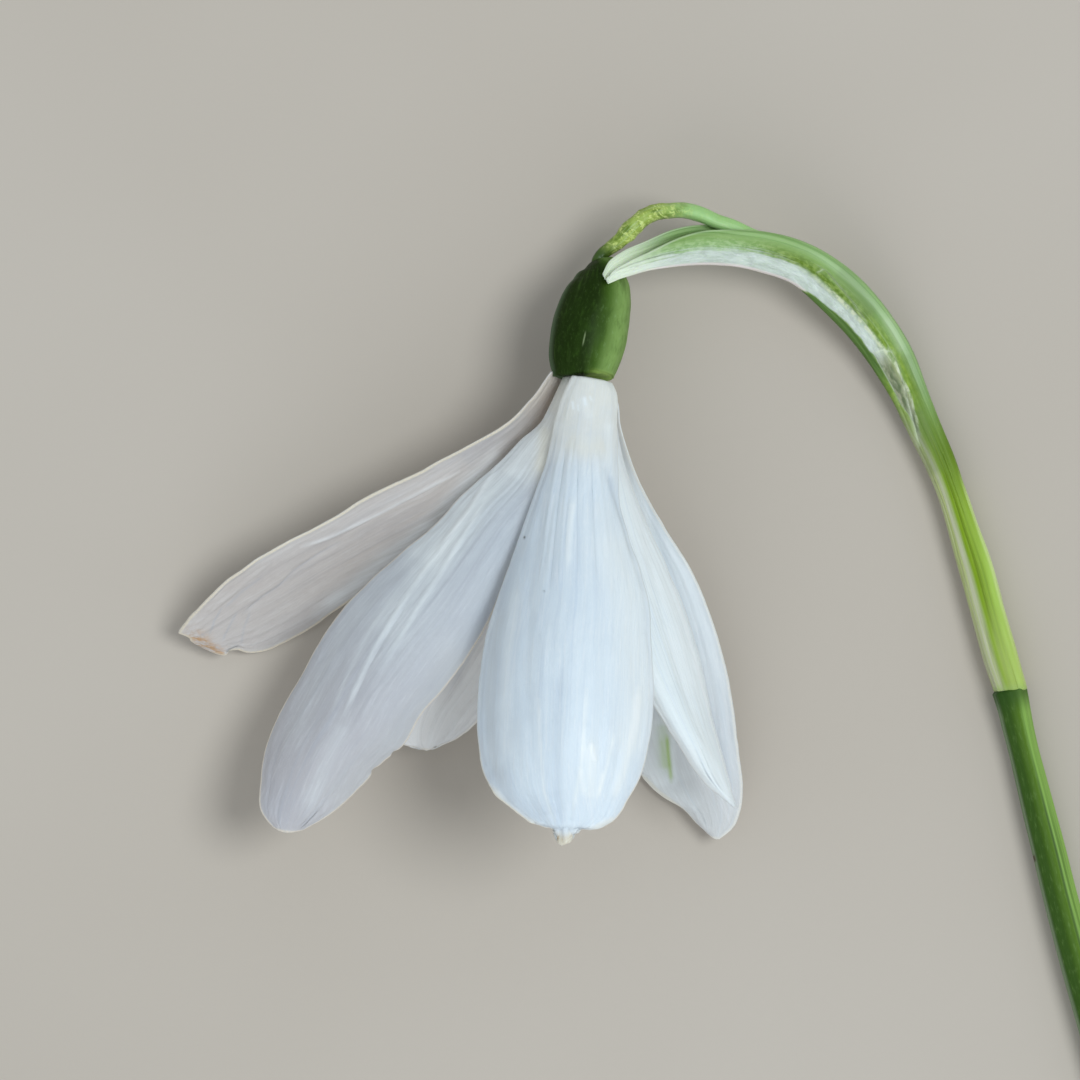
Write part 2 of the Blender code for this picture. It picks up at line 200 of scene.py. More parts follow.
# Stalks: x, y, height of the centre, radius.
PEDICEL = (
    (25.7, -17.98, 1.14, 0.5),
    (24.73, -14.72, 1.1, 0.47),
    (23.71, -11.29, 1.06, 0.45),
    (22.62, -7.79, 1.05, 0.45),
    (21.54, -4.59, 1.05, 0.45),
    (20.27, -1.46, 1.1, 0.45),
    (18.76, 1.61, 1.4, 0.45),
    (17.06, 4.08, 1.9, 0.45),
    (15.24, 6.06, 2.4, 0.45),
    (13.25, 7.55, 3, 0.45),
    (11.19, 8.56, 3.68, 0.44),
    (9.56, 9.1, 4.22, 0.44),
    (8.06, 9.54, 4.62, 0.45),
    (7.15, 9.93, 4.75, 0.47),
    (6.31, 10.17, 4.8, 0.48),
    (5.23, 10.19, 4.85, 0.48),
    (4.39, 10.07, 4.88, 0.5),
    (3.67, 9.74, 4.9, 0.52),
    (3.07, 9.23, 4.93, 0.55),
    (2.41, 8.54, 4.97, 0.5),
    (1.74, 7.97, 5, 0.42),
    (1.2, 7.55, 5.03, 0.38),
)
SCAPE = (
    (25.79, -18.67, 1.2, 1.08),
    (25.97, -19.37, 1.15, 1),
    (26.3, -20.87, 1.05, 0.93),
    (26.65, -22.32, 1, 0.9),
    (27.09, -24.07, 1, 0.93),
    (27.57, -26, 1.02, 0.97),
    (28.14, -28.23, 1.03, 1),
    (28.74, -30.7, 1.05, 1.02),
    (29.38, -33.17, 1.06, 1.04),
    (30.1, -35.83, 1.07, 1.05),
    (30.88, -38.54, 1.08, 1.06),
    (32.45, -43.66, 1.1, 1.08),
    (34.26, -49.09, 1.12, 1.1),
    (36.25, -54.82, 1.14, 1.12),
    (38.42, -60.54, 1.16, 1.15),
)
OVARY = (
    (1.05, 7.19, 5.08, 0.45),
    (1.08, 7.01, 5.1, 0.95),
    (1.11, 6.62, 5.15, 1.4),
    (1.17, 5.95, 5.25, 1.78),
    (0.9, 5.11, 5.38, 2.03),
    (0.66, 4.27, 5.52, 2.2),
    (0.54, 3.49, 5.64, 2.3),
    (0.42, 2.76, 5.76, 2.33),
    (0.31, 2.07, 5.87, 2.3),
    (0.2, 1.38, 5.98, 2.2),
    (0.11, 0.78, 6.07, 2.05),
    (0.01, 0.24, 6.16, 1.85),
)


# Features of each tepal in plan mm: kind, amount, width, line. The dark marks are painted shade and the light marks
# painted highlights and lightened shadows; the spathe's dusk marks are painted shade in its folds.
MARKS = {
    "tepal_outer_front": (
        ("painted_shade", 0.24, 0.8, ((-5.26, -23.0), (-4.43, -24.91), (-3.0, -25.8), (-1.8, -26.4))),
        ("painted_shade", 0.1, 1.2, ((-2.04, -24.48), (-1.81, -25.96))),
        ("warm", 0.14, 0.45, ((-4.79, -13.18), (-5.26, -16.16), (-5.44, -19.15), (-5.26, -22.43), (-4.43, -24.87))),
        ("painted_light", 0.35, 0.35, ((-1.38, -2.42), (-1.44, -4.81))),
        ("painted_light", 0.4, 0.35, ((1.43, -2.42), (1.61, -4.21), (1.97, -6.01))),
        ("painted_shade", 0.28, 0.75, ((-4.61, -10.79), (-5.14, -15.57), (-5.38, -19.15), (-5.2, -22.73), (-4.61, -24.81))),
        ("painted_light", 0.35, 0.45, ((-3.65, -11.98), (-4.31, -16.16), (-4.55, -19.73), (-4.31, -23.01))),
        ("fold", 0.07, 0.16, ((-0.55, -7.21), (-0.73, -9.0), (-0.85, -11.09))),
        ("painted_light", 0.5, 0.14, ((-0.55, -7.21), (-0.73, -9.0), (-0.85, -11.09))),
        ("fold", -0.09, 0.2, ((1.42, -5.42), (1.72, -6.61), (2.37, -8.4), (3.09, -10.79))),
        ("painted_shade", 0.35, 0.2, ((1.42, -5.42), (1.72, -6.61), (2.37, -8.4), (3.09, -10.79))),
        ("fold", -0.07, 0.3, ((-1.27, -16.74), (-1.45, -19.12), (-1.57, -21.79), (-1.51, -24.77), (-1.21, -26.85))),
        ("painted_shade", 0.24, 0.3, ((-1.27, -17.33), (-1.51, -19.41), (-1.63, -21.79), (-1.57, -24.47), (-1.21, -26.97))),
        ("painted_light", 0.6, 0.4, ((0.4, -21.62), (0.51, -23.28), (0.4, -25.07))),
        ("painted_light", 0.6, 0.25, ((3.26, -18.53), (2.96, -20.91), (2.36, -23.29), (1.71, -25.08))),
        ("fold", 0.07, 0.3, ((3.26, -18.53), (2.96, -20.91), (2.36, -23.29), (1.71, -25.08))),
        ("fold", -0.06, 0.3, ((-2.22, -7.22), (-3.11, -12.58), (-3.29, -17.94), (-2.94, -23.29))),
        ("fold", -0.05, 0.3, ((0.58, -7.22), (1.05, -12.58), (1.23, -17.94), (0.87, -23.29))),
        ("fold", 0.16, 0.2, ((-5.38, -24.25), (-4.6, -25.26), (-3.47, -26.15), (-2.22, -26.75), (-1.57, -27.04))),
        ("warm", 0.6, 0.16, ((-5.38, -24.25), (-4.6, -25.26), (-3.47, -26.15), (-2.22, -26.75), (-1.57, -27.04))),
        ("fold", 0.12, 0.18, ((-0.44, -26.93), (0.76, -26.63), (1.95, -26.1))),
        ("warm", 0.5, 0.14, ((-0.44, -26.93), (0.76, -26.63), (1.95, -26.1))),
        ("warm", 1.0, 0.42, ((-1.63, -27.34), (-1.09, -27.58), (-0.5, -27.28))),
        ("tan", 0.8, 0.36, ((-1.57, -27.22), (-1.21, -27.58), (-0.5, -27.46))),
        ("painted_light", 0.5, 0.14, ((0.46, -21.62), (0.69, -22.81))),
        ("painted_light", 0.45, 0.12, ((-0.14, -23.17), (0.04, -24.6))),
        ("painted_light", 0.4, 0.12, ((1.11, -23.41), (0.93, -24.6))),
        ("fold", 0.06, 0.14, ((0.46, -21.62), (0.69, -22.81))),
        ("fold", 0.06, 0.14, ((-0.14, -23.17), (0.04, -24.6))),
        ("fold", -0.06, 0.12, ((-0.61, -25.07), (-0.73, -26.38))),
        ("fold", 0.06, 0.12, ((-1.81, -25.07), (-1.45, -26.38))),
        ("painted_shade", 0.35, 0.06, ((-1.33, -26.62), (-1.21, -27.58))),
        ("painted_shade", 0.3, 0.05, ((-0.79, -26.74), (-0.85, -27.52))),
        ("fold", 0.12, 0.1, ((-1.03, -26.62), (-1.03, -27.64))),
        ("painted_light", 0.5, 0.12, ((0.22, -18.53), (0.04, -20.91), (-0.14, -23.29), (-0.61, -25.97))),
        ("painted_light", 0.5, 0.1, ((-2.52, -19.12), (-2.46, -21.5), (-2.22, -24.48), (-1.63, -26.26))),
        ("painted_light", 0.5, 0.1, ((1.77, -21.2), (1.41, -22.99), (0.81, -25.07))),
        ("speck", 0.5, 0.05, ((-2.22, -12.66), (-2.22, -12.75))),
        ("speck", 1.0, 0.07, ((-3.39, -9.42), (-3.39, -9.54))),
        ("painted_shade", 0.22, 1.7, ((-3.71, -8.4), (-4.61, -13.18), (-5.03, -17.95), (-4.73, -22.73))),
        ("painted_light", 0.55, 1.4, ((1.41, -8.41), (2.96, -13.17), (3.44, -18.54), (2.49, -23.31))),
        ("warm", 0.35, 0.6, ((-0.96, -3.61), (0.17, -4.33), (1.43, -3.97))),
        ("painted_light", 0.7, 0.08, ((-0.54, -1.34), (-0.48, -1.88))),
        ("painted_light", 0.5, 0.07, ((-0.25, -1.52), (-0.19, -1.94))),
        ("painted_light", 0.75, 0.1, ((0.11, -1.1), (0.23, -1.64))),
        ("painted_light", 0.55, 0.08, ((0.41, -1.04), (0.59, -1.34))),
        ("painted_light", 0.3, 0.3, ((-0.13, -1.1), (0.47, -2.42))),
        ("fold", 0.045, 0.1, ((0.05, -4.23), (0.11, -7.21), (0.23, -11.39))),
        ("fold", 0.045, 0.1, ((0.76, -4.23), (1.12, -7.21), (1.48, -10.79))),
        ("fold", 0.045, 0.1, ((-1.33, -4.52), (-1.92, -7.81), (-2.46, -11.99))),
        ("fold", 0.04, 0.1, ((-0.61, -3.63), (-0.97, -7.21), (-1.33, -12.58))),
        ("fold", -0.05, 0.1, ((-0.25, -4.23), (-0.31, -7.21), (-0.31, -11.99))),
        ("fold", -0.05, 0.1, ((0.47, -4.23), (0.64, -7.81), (0.82, -11.99))),
        ("fold", -0.05, 0.1, ((-0.97, -4.23), (-1.44, -7.81), (-1.92, -12.58))),
        ("painted_shade", 0.25, 0.07, ((-0.25, -4.23), (-0.31, -7.21), (-0.31, -11.99))),
        ("painted_shade", 0.25, 0.07, ((0.47, -4.23), (0.64, -7.81), (0.82, -11.99))),
        ("painted_shade", 0.25, 0.07, ((-0.97, -4.23), (-1.44, -7.81), (-1.92, -12.58))),
    ),
    "tepal_inner_left": (
        ("painted_light", 0.4, 0.4, ((-6.11, -5.41), (-7.61, -7.26), (-9.11, -9.12), (-10.42, -10.92))),
        ("painted_light", 0.3, 1.3, ((-4.61, -5.41), (-6.71, -7.92), (-8.99, -10.8), (-10.78, -13.79), (-12.1, -16.18))),
        ("painted_shade", 0.28, 1.1, ((-4.92, -12.59), (-6.71, -16.49), (-9.11, -19.78), (-11.81, -22.06), (-14.2, -24.46), (-15.58, -25.9))),
        ("warm", 0.12, 1.2, ((-6.71, -15.59), (-8.51, -18.59), (-10.91, -21.28), (-13.9, -24.28), (-15.58, -25.9))),
        ("fold", 0.06, 0.15, ((-4.61, -4.51), (-6.71, -7.92), (-9.1, -11.09), (-10.84, -13.61), (-12.4, -16.18), (-13.6, -18.58), (-14.19, -20.07))),
        ("painted_light", 0.3, 0.12, ((-4.61, -4.51), (-6.71, -7.92), (-9.1, -11.09), (-10.84, -13.61), (-12.4, -16.18), (-13.6, -18.58), (-14.19, -20.07))),
        ("fold", 0.05, 0.14, ((-5.69, -7.2), (-7.91, -10.8), (-9.7, -13.49), (-10.9, -15.58), (-12.1, -17.38))),
        ("painted_light", 0.28, 0.14, ((-5.69, -7.2), (-7.91, -10.8), (-9.7, -13.49), (-10.9, -15.58), (-12.1, -17.38))),
        ("painted_light", 0.2, 0.1, ((-10.9, -12.59), (-12.58, -14.99), (-13.89, -17.5), (-14.91, -19.9))),
        ("fold", -0.05, 0.12, ((-10.3, -13.19), (-11.8, -15.58), (-13.0, -17.74), (-13.77, -19.48))),
        ("painted_light", 0.55, 0.85, ((-3.72, -3.61), (-5.51, -6.01), (-7.61, -9.0), (-9.4, -11.69))),
        ("painted_light", 0.75, 0.8, ((-2.16, -1.52), (-3.0, -3.61), (-4.44, -6.01))),
        ("warm", 0.45, 0.35, ((-2.16, -2.71), (-2.28, -4.21), (-2.46, -5.71))),
        ("painted_shade", 0.26, 1.3, ((-3.72, -8.4), (-4.92, -13.19), (-6.71, -16.49), (-9.11, -19.78))),
        ("painted_light", 0.12, 0.6, ((-12.59, -12.59), (-14.8, -16.19), (-16.3, -19.19), (-17.5, -22.18))),
        ("painted_light", 0.18, 0.5, ((-14.21, -20.39), (-15.4, -23.08), (-16.6, -25.78))),
        ("speck", 1.0, 0.075, ((-3.54, -9.42), (-3.54, -9.54))),
        ("cut", 0.42, 0.22, ((-12.35, -23.5), (-12.29, -23.44))),
        ("cut", 0.3, 0.18, ((-11.21, -22.43), (-11.15, -22.37))),
    ),
    "tepal_outer_left": (
        ("painted_light", 0.45, 0.5, ((-5.53, -4.9), (-6.73, -5.99), (-7.82, -7.19), (-9.44, -8.82), (-11.13, -10.32), (-13.84, -12.49), (-15.76, -13.93))),
        ("painted_light", 0.4, 0.4, ((-4.93, -3.88), (-6.13, -5.39), (-7.21, -6.47), (-8.54, -7.79))),
        ("painted_light", 0.35, 0.5, ((-8.54, -8.09), (-10.34, -9.6), (-11.85, -10.56), (-13.95, -12.49), (-15.88, -13.93))),
        ("painted_shade", 0.2, 0.7, ((-3.12, -1.79), (-4.92, -3.41), (-7.33, -4.91))),
        ("painted_light", 0.4, 0.07, ((-7.39, -5.39), (-9.74, -6.63), (-11.12, -7.35), (-12.32, -7.97), (-13.94, -8.76), (-15.33, -9.42), (-16.89, -9.96))),
        ("fold", 0.06, 0.1, ((-7.39, -5.39), (-9.74, -6.63), (-11.12, -7.35), (-12.32, -7.97), (-13.94, -8.76), (-15.33, -9.42), (-16.89, -9.96))),
        ("painted_light", 0.16, 0.5, ((-6.73, -4.49), (-9.73, -6.11), (-13.34, -7.92), (-16.94, -9.6), (-19.95, -11.22))),
        ("painted_shade", 0.32, 0.07, ((-14.57, -9.66), (-15.71, -10.26), (-17.34, -11.34), (-18.33, -12.31), (-19.32, -12.97), (-20.47, -13.99))),
        ("fold", -0.06, 0.1, ((-14.57, -9.66), (-15.71, -10.26), (-17.34, -11.34), (-18.33, -12.31), (-19.32, -12.97), (-20.47, -13.99))),
        ("painted_shade", 0.3, 0.07, ((-19.27, -11.71), (-20.59, -12.73), (-21.5, -13.57))),
        ("fold", 0.06, 0.1, ((-18.78, -10.92), (-20.23, -12.01), (-21.5, -13.09), (-22.52, -13.94))),
        ("painted_shade", 0.35, 0.06, ((-20.83, -13.94), (-21.31, -14.78), (-21.68, -15.62))),
        ("painted_shade", 0.35, 0.06, ((-21.68, -13.57), (-22.16, -14.42), (-22.46, -15.26))),
        ("painted_shade", 0.25, 0.07, ((-19.99, -13.81), (-20.41, -14.9), (-20.59, -15.86))),
        ("tan", 0.9, 0.3, ((-23.78, -15.14), (-23.0, -15.68), (-22.1, -16.16), (-21.43, -16.41))),
        ("tan", 0.35, 0.5, ((-23.42, -15.02), (-22.58, -15.74))),
        ("painted_shade", 0.5, 0.06, ((-22.22, -15.92), (-21.74, -16.22))),
        ("painted_shade", 0.4, 0.05, ((-22.94, -15.14), (-22.7, -15.44))),
        ("cut", 0.35, 0.25, ((-21.08, -16.47), (-20.6, -16.23))),
    ),
    "tepal_outer_right": (
        ("painted_light", 0.22, 0.8, ((4.23, -23.77), (5.92, -24.79), (7.13, -26.0))),
        ("painted_light", 0.85, 1.5, ((3.87, -20.15), (4.23, -22.26), (4.96, -24.67))),
        ("green", 0.34, 0.42, ((4.9, -20.57), (4.96, -21.96), (5.08, -23.47))),
        ("green", 0.7, 0.11, ((5.17, -21.36), (5.26, -22.56), (5.44, -24.13))),
        ("green", 0.2, 0.15, ((4.84, -21.54), (4.96, -22.62), (5.14, -23.47))),
        ("painted_light", 0.5, 0.12, ((5.5, -21.06), (5.56, -22.56), (5.68, -24.37))),
        ("painted_shade", 0.26, 0.26, ((3.5, -5.39), (5.12, -10.8), (6.68, -16.22), (7.65, -19.82), (8.61, -23.13), (9.33, -25.6))),
        ("painted_shade", 0.12, 0.8, ((4.1, -5.39), (5.9, -10.8), (7.47, -16.22), (8.43, -19.82), (9.09, -23.13))),
        ("warm", 0.8, 0.1, ((3.63, -23.71), (4.72, -24.79), (6.1, -25.7))),
        ("fold", 0.07, 0.12, ((3.63, -23.71), (4.72, -24.79), (6.1, -25.7))),
    ),
    "tepal_inner_right": (
        ("painted_shade", 0.13, 0.7, ((3.82, -13.79), (4.36, -16.18), (5.74, -20.07), (6.93, -22.28))),
        ("painted_light", 0.5, 0.14, ((4.3, -19.23), (5.86, -21.87), (7.36, -24.08), (9.03, -25.52))),
        ("painted_light", 0.7, 0.1, ((3.48, -5.4), (4.98, -10.8), (6.48, -16.2), (7.44, -19.8), (8.4, -23.1), (9.18, -25.38))),
        ("fold", -0.05, 0.25, ((3.46, -8.4), (4.36, -13.19), (5.74, -17.97), (6.69, -20.67))),
        ("fold", -0.04, 0.2, ((4.06, -10.79), (5.26, -15.58), (6.22, -18.87))),
    ),
    "spathe": (
        ("pale", 0.7, 0.09, ((18.68, 1.81), (19.04, 0.85), (19.46, -0.47), (19.88, -2.09), (20.42, -3.89))),
        ("pale", 0.7, 0.09, ((17.72, 1.69), (18.14, 1.87), (18.62, 1.69), (18.86, 1.33))),
        ("pale", 0.45, 0.08, ((16.1, 4.52), (17.06, 3.37), (17.72, 2.41), (17.9, 1.69))),
        ("pale", 0.5, 0.07, ((14.18, 6.92), (14.66, 6.62), (15.38, 5.78), (16.22, 4.82), (17.18, 3.49))),
        ("pale", 0.5, 0.08, ((14.12, 6.5), (14.54, 6.68))),
        ("pale", 0.5, 0.07, ((17.54, 1.75), (18.02, 0.85), (18.68, -0.29), (19.16, -1.31))),
        ("pale", 0.4, 0.07, ((18.38, 2.05), (18.62, 1.69))),
        # The dusk marks are painted shade along the spathe's grooves and folds.
        ("painted_fold_shade", 0.5, 0.08, ((17.36, 1.45), (17.84, 0.61), (18.44, -0.35), (18.98, -1.31), (19.58, -2.63))),
        ("painted_fold_shade", 0.4, 0.07, ((18.14, 1.57), (18.5, 0.85), (18.86, 0.01))),
        ("painted_fold_shade", 0.35, 0.08, ((18.86, 0.49), (19.28, -0.71), (19.64, -1.79))),
        ("painted_fold_shade", 0.32, 0.5, ((15.26, 6.74), (15.98, 6.08), (16.58, 5.36), (17.18, 4.46), (17.6, 3.74))),
        ("painted_fold_shade", 0.28, 0.4, ((19.46, 1.69), (19.94, 0.07), (20.3, -1.19))),
        ("painted_fold_shade", 0.42, 0.45, ((20.0, -1.49), (20.42, -2.87), (20.84, -4.19), (21.38, -5.87))),
        ("pale", 0.22, 0.3, ((18.26, 3.86), (18.92, 2.59), (19.34, 1.69))),
    ),
    "tepal_inner_back": (
        ("painted_shade", 0.35, 0.35, ((-4.03, -9.9), (-4.93, -12.61), (-6.44, -15.62), (-7.94, -18.63))),
    ),
}


# ---------------------------------------------------------------- helpers
def smooth_curve(at, steps, values):
    """Cubic Hermite curve through values at steps, read at the positions at."""
    steps, values = np.asarray(steps, float), np.asarray(values, float)
    slope = np.gradient(values, steps, axis=0)
    at = np.atleast_1d(np.asarray(at, float))
    i = np.clip(np.searchsorted(steps, at, side="right") - 1, 0, len(steps) - 2)
    h = steps[i + 1] - steps[i]
    t = (at - steps[i]) / h
    shape = (slice(None),) + (None,) * (values.ndim - 1)
    t, h = t[shape], h[shape]
    return (
        (2 * t**3 - 3 * t**2 + 1) * values[i]
        + (t**3 - 2 * t**2 + t) * h * slope[i]
        + (3 * t**2 - 2 * t**3) * values[i + 1]
        + (t**3 - t**2) * h * slope[i + 1]
    )


def length_steps(points):
    run = np.cumsum(np.linalg.norm(np.diff(points, axis=0), axis=1))
    return np.concatenate([[0.0], run]) / run[-1]


def placed(points):
    shift = np.array([-PLAN_CENTRE[0], -PLAN_CENTRE[1], LIFT])
    return (np.asarray(points, float) + shift) * MM


def step(lo, hi, x):
    t = np.clip((x - lo) / (hi - lo), 0, 1)
    return t * t * (3 - 2 * t)


def bump(x, at, width):
    return np.exp(-(((x - at) / width) ** 2))


def noise(x, y, seed, octaves=1):
    """Smooth lattice noise from -1 to 1."""
    total, scale, size = 0.0, 1.0, 0.0
    for k in range(octaves):
        table = np.random.RandomState(seed * 7 + k).rand(61, 61) * 2 - 1
        xi, yi = np.floor(x).astype(int), np.floor(y).astype(int)
        fx, fy = x - xi, y - yi
        fx, fy = fx * fx * (3 - 2 * fx), fy * fy * (3 - 2 * fy)
        a, b = table[xi % 61, yi % 61], table[(xi + 1) % 61, yi % 61]
        c, d = table[xi % 61, (yi + 1) % 61], table[(xi + 1) % 61, (yi + 1) % 61]
        total = total + scale * (a + (b - a) * fx + (c - a) * fy + (a - b - c + d) * fx * fy)
        size += scale
        scale *= 0.5
        x, y = x * 2.03 + 11.3, y * 2.03 + 5.7
    return total / size


def grid_normals(points, wrap=False):
    """Unit normals of an (rows, columns, 3) grid, on the side that along x across points to."""
    if wrap:
        across = np.roll(points, -1, 1) - np.roll(points, 1, 1)
    else:
        across = np.gradient(points, axis=1)
    along = np.gradient(points, axis=0)
    normal = np.cross(along, across)
    return normal / np.maximum(np.linalg.norm(normal, axis=2, keepdims=True), 1e-12)


def make_mesh(name, verts, faces, attributes):
    mesh = bpy.data.meshes.new(name)
    mesh.from_pydata(verts.tolist(), [], faces)
    for key, values in attributes.items():
        layer = mesh.attributes.new(key, "FLOAT", "POINT")
        layer.data.foreach_set("value", np.ascontiguousarray(values, np.float32).ravel())
    mesh.shade_smooth()
    mesh.update()
    obj = bpy.data.objects.new(name, mesh)
    bpy.context.scene.collection.objects.link(obj)
    return obj


def shell(name, middle, thick, attributes):
    """A closed sheet round a mid-surface grid (rows, columns, 3) in plan mm, with a rounded rim.
    The upper side is the one whose normal is along x across."""
    rows, cols = middle.shape[:2]
    normal = grid_normals(middle)
    half = (thick / 2)[:, :, None] * normal
    top, under = middle + half, middle - half
    ring = (
        [(0, j) for j in range(cols)]
        + [(i, cols - 1) for i in range(1, rows)]
        + [(rows - 1, j) for j in range(cols - 2, -1, -1)]
        + [(i, 0) for i in range(rows - 2, 0, -1)]
    )
    r = np.array(ring)
    inward = np.array([(min(max(i, 1), rows - 2), min(max(j, 1), cols - 2)) for i, j in ring])
    out = middle[r[:, 0], r[:, 1]] - middle[inward[:, 0], inward[:, 1]]
    out /= np.maximum(np.linalg.norm(out, axis=1, keepdims=True), 1e-9)
    lip = middle[r[:, 0], r[:, 1]] + out * (thick[r[:, 0], r[:, 1]] * 0.42)[:, None]
    n = rows * cols
    verts = np.concatenate([top.reshape(-1, 3), under.reshape(-1, 3), lip])
    i, j = np.meshgrid(np.arange(rows - 1), np.arange(cols - 1), indexing="ij")
    a = (i * cols + j).ravel()
    quads = np.stack([a, a + cols, a + cols + 1, a + 1], 1)
    flat = r[:, 0] * cols + r[:, 1]
    nxt = np.roll(flat, -1)
    lips = 2 * n + np.arange(len(ring))
    lip_next = np.roll(lips, -1)
    rim_top = np.stack([flat, nxt, lip_next, lips], 1)
    rim_under = np.stack([lips, lip_next, nxt + n, flat + n], 1)
    faces = np.concatenate([quads, quads[:, ::-1] + n, rim_top, rim_under]).tolist()
    made = {}
    for key, values in attributes.items():
        v = np.broadcast_to(np.asarray(values, float), (rows, cols))
        made[key] = np.concatenate([v.ravel(), v.ravel(), v[r[:, 0], r[:, 1]]])
    made["upper"] = np.concatenate([np.ones(n), np.zeros(n), np.full(len(ring), 0.5)])
    return make_mesh(name, placed(verts), faces, made)


def loft(name, rings, attributes, cap=True):
    """A closed tube through rings (rows, columns, 3) in plan mm, its ends filled from a middle point."""
    rows, cols = rings.shape[:2]
    verts = rings.reshape(-1, 3)
    i, j = np.meshgrid(np.arange(rows - 1), np.arange(cols), indexing="ij")
    a = (i * cols + j).ravel()
    b = (i * cols + (j + 1) % cols).ravel()
    quads = np.stack([a, b, b + cols, a + cols], 1).tolist()
    verts = np.concatenate([verts, rings[0].mean(0)[None], rings[-1].mean(0)[None]])
    n = rows * cols
    k = np.arange(cols)
    first = np.stack([(k + 1) % cols, k, np.full(cols, n)], 1).tolist()
    last = np.stack([(rows - 1) * cols + k, (rows - 1) * cols + (k + 1) % cols, np.full(cols, n + 1)], 1).tolist()
    made = {}
    for key, values in attributes.items():
        v = np.broadcast_to(np.asarray(values, float), (rows, cols))
        made[key] = np.concatenate([v.ravel(), [v[0].mean(), v[-1].mean()]])
    return make_mesh(name, placed(verts), quads + first + last, made)


def tube_frames(centre, up=(0.0, 0.0, 1.0)):
    """Tangent, side and top directions along a centre line (rows, 3)."""
    tangent = np.gradient(centre, axis=0)
    tangent /= np.linalg.norm(tangent, axis=1, keepdims=True)
    side = np.cross(np.array(up), tangent)
    side /= np.linalg.norm(side, axis=1, keepdims=True)
    top = np.cross(tangent, side)
    return tangent, side, top


def flip_check(obj):
    """Turns a mesh's faces out if its volume reads negative."""
    mesh = obj.data
    mesh.calc_loop_triangles()
    co = np.empty(len(mesh.vertices) * 3)
    mesh.vertices.foreach_get("co", co)
    co = co.reshape(-1, 3)
    tri = np.empty(len(mesh.loop_triangles) * 3, int)
    mesh.loop_triangles.foreach_get("vertices", tri)
    p = co[tri.reshape(-1, 3)]
    if np.einsum("ij,ij->i", p[:, 0], np.cross(p[:, 1], p[:, 2])).sum() < 0:
        mesh.flip_normals()
    return obj


def finish_piece(obj, node, material):
    flip_check(obj)
    obj.data.materials.append(material)
    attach(obj, "root")
    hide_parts(node)
    return obj


# ---------------------------------------------------------------- shader helpers
class Tree:
    """Short names for building a node material."""

    def __init__(self, name):
        self.material = bpy.data.materials.new(name)
        self.material.use_nodes = True
        self.nodes = self.material.node_tree.nodes
        self.links = self.material.node_tree.links
        self.shader = self.nodes["Principled BSDF"]

    def put(self, socket, value):
        if hasattr(value, "links"):
            self.links.new(value, socket)
        elif isinstance(value, (tuple, list)) and len(value) == 3 and socket.type == "RGBA":
            socket.default_value = (*value, 1)
        else:
            socket.default_value = value

    def attr(self, name):
        n = self.nodes.new("ShaderNodeAttribute")
        n.attribute_name = name
        return n.outputs["Fac"]

    def math(self, op, a, b=0.0, c=0.0, clamp=False):
        n = self.nodes.new("ShaderNodeMath")
        n.operation = op
        n.use_clamp = clamp
        for s, v in zip(n.inputs, (a, b, c)):
            self.put(s, v)
        return n.outputs[0]

    def ramp(self, value, lo, hi, out_lo=0.0, out_hi=1.0, smooth=True):
        n = self.nodes.new("ShaderNodeMapRange")
        n.interpolation_type = "SMOOTHSTEP" if smooth else "LINEAR"
        for s, v in zip(n.inputs, (value, lo, hi, out_lo, out_hi)):
            self.put(s, v)
        return n.outputs[0]

    def mix(self, fac, a, b, mode="MIX"):
        n = self.nodes.new("ShaderNodeMix")
        n.data_type = "RGBA"
        n.blend_type = mode
        self.put(n.inputs[0], fac)
        self.put(n.inputs[6], a)
        self.put(n.inputs[7], b)
        return n.outputs[2]

    def vector(self, x, y=0.0, z=0.0):
        n = self.nodes.new("ShaderNodeCombineXYZ")
        for s, v in zip(n.inputs, (x, y, z)):
            self.put(s, v)
        return n.outputs[0]

    def place(self):
        return self.nodes.new("ShaderNodeTexCoord").outputs["Object"]

    def noise(self, vector, scale, detail=2.0, rough=0.5, distort=0.0):
        n = self.nodes.new("ShaderNodeTexNoise")
        self.put(n.inputs["Vector"], vector)
        n.inputs["Scale"].default_value = scale
        n.inputs["Detail"].default_value = detail
        n.inputs["Roughness"].default_value = rough
        n.inputs["Distortion"].default_value = distort
        return n.outputs["Fac"]

    def cells(self, vector, scale, feature="F1", randomness=1.0):
        n = self.nodes.new("ShaderNodeTexVoronoi")
        n.feature = feature
        self.put(n.inputs["Vector"], vector)
        n.inputs["Scale"].default_value = scale
        n.inputs["Randomness"].default_value = randomness
        return n.outputs["Distance"]

    def bump(self, height, distance, strength=1.0, normal=None):
        n = self.nodes.new("ShaderNodeBump")
        n.inputs["Strength"].default_value = strength
        n.inputs["Distance"].default_value = distance
        self.put(n.inputs["Height"], height)
        if normal is not None:
            self.put(n.inputs["Normal"], normal)
        return n.outputs[0]

    def set(self, **values):
        for key, value in values.items():
            self.put(self.shader.inputs[key.replace("_", " ")], value)


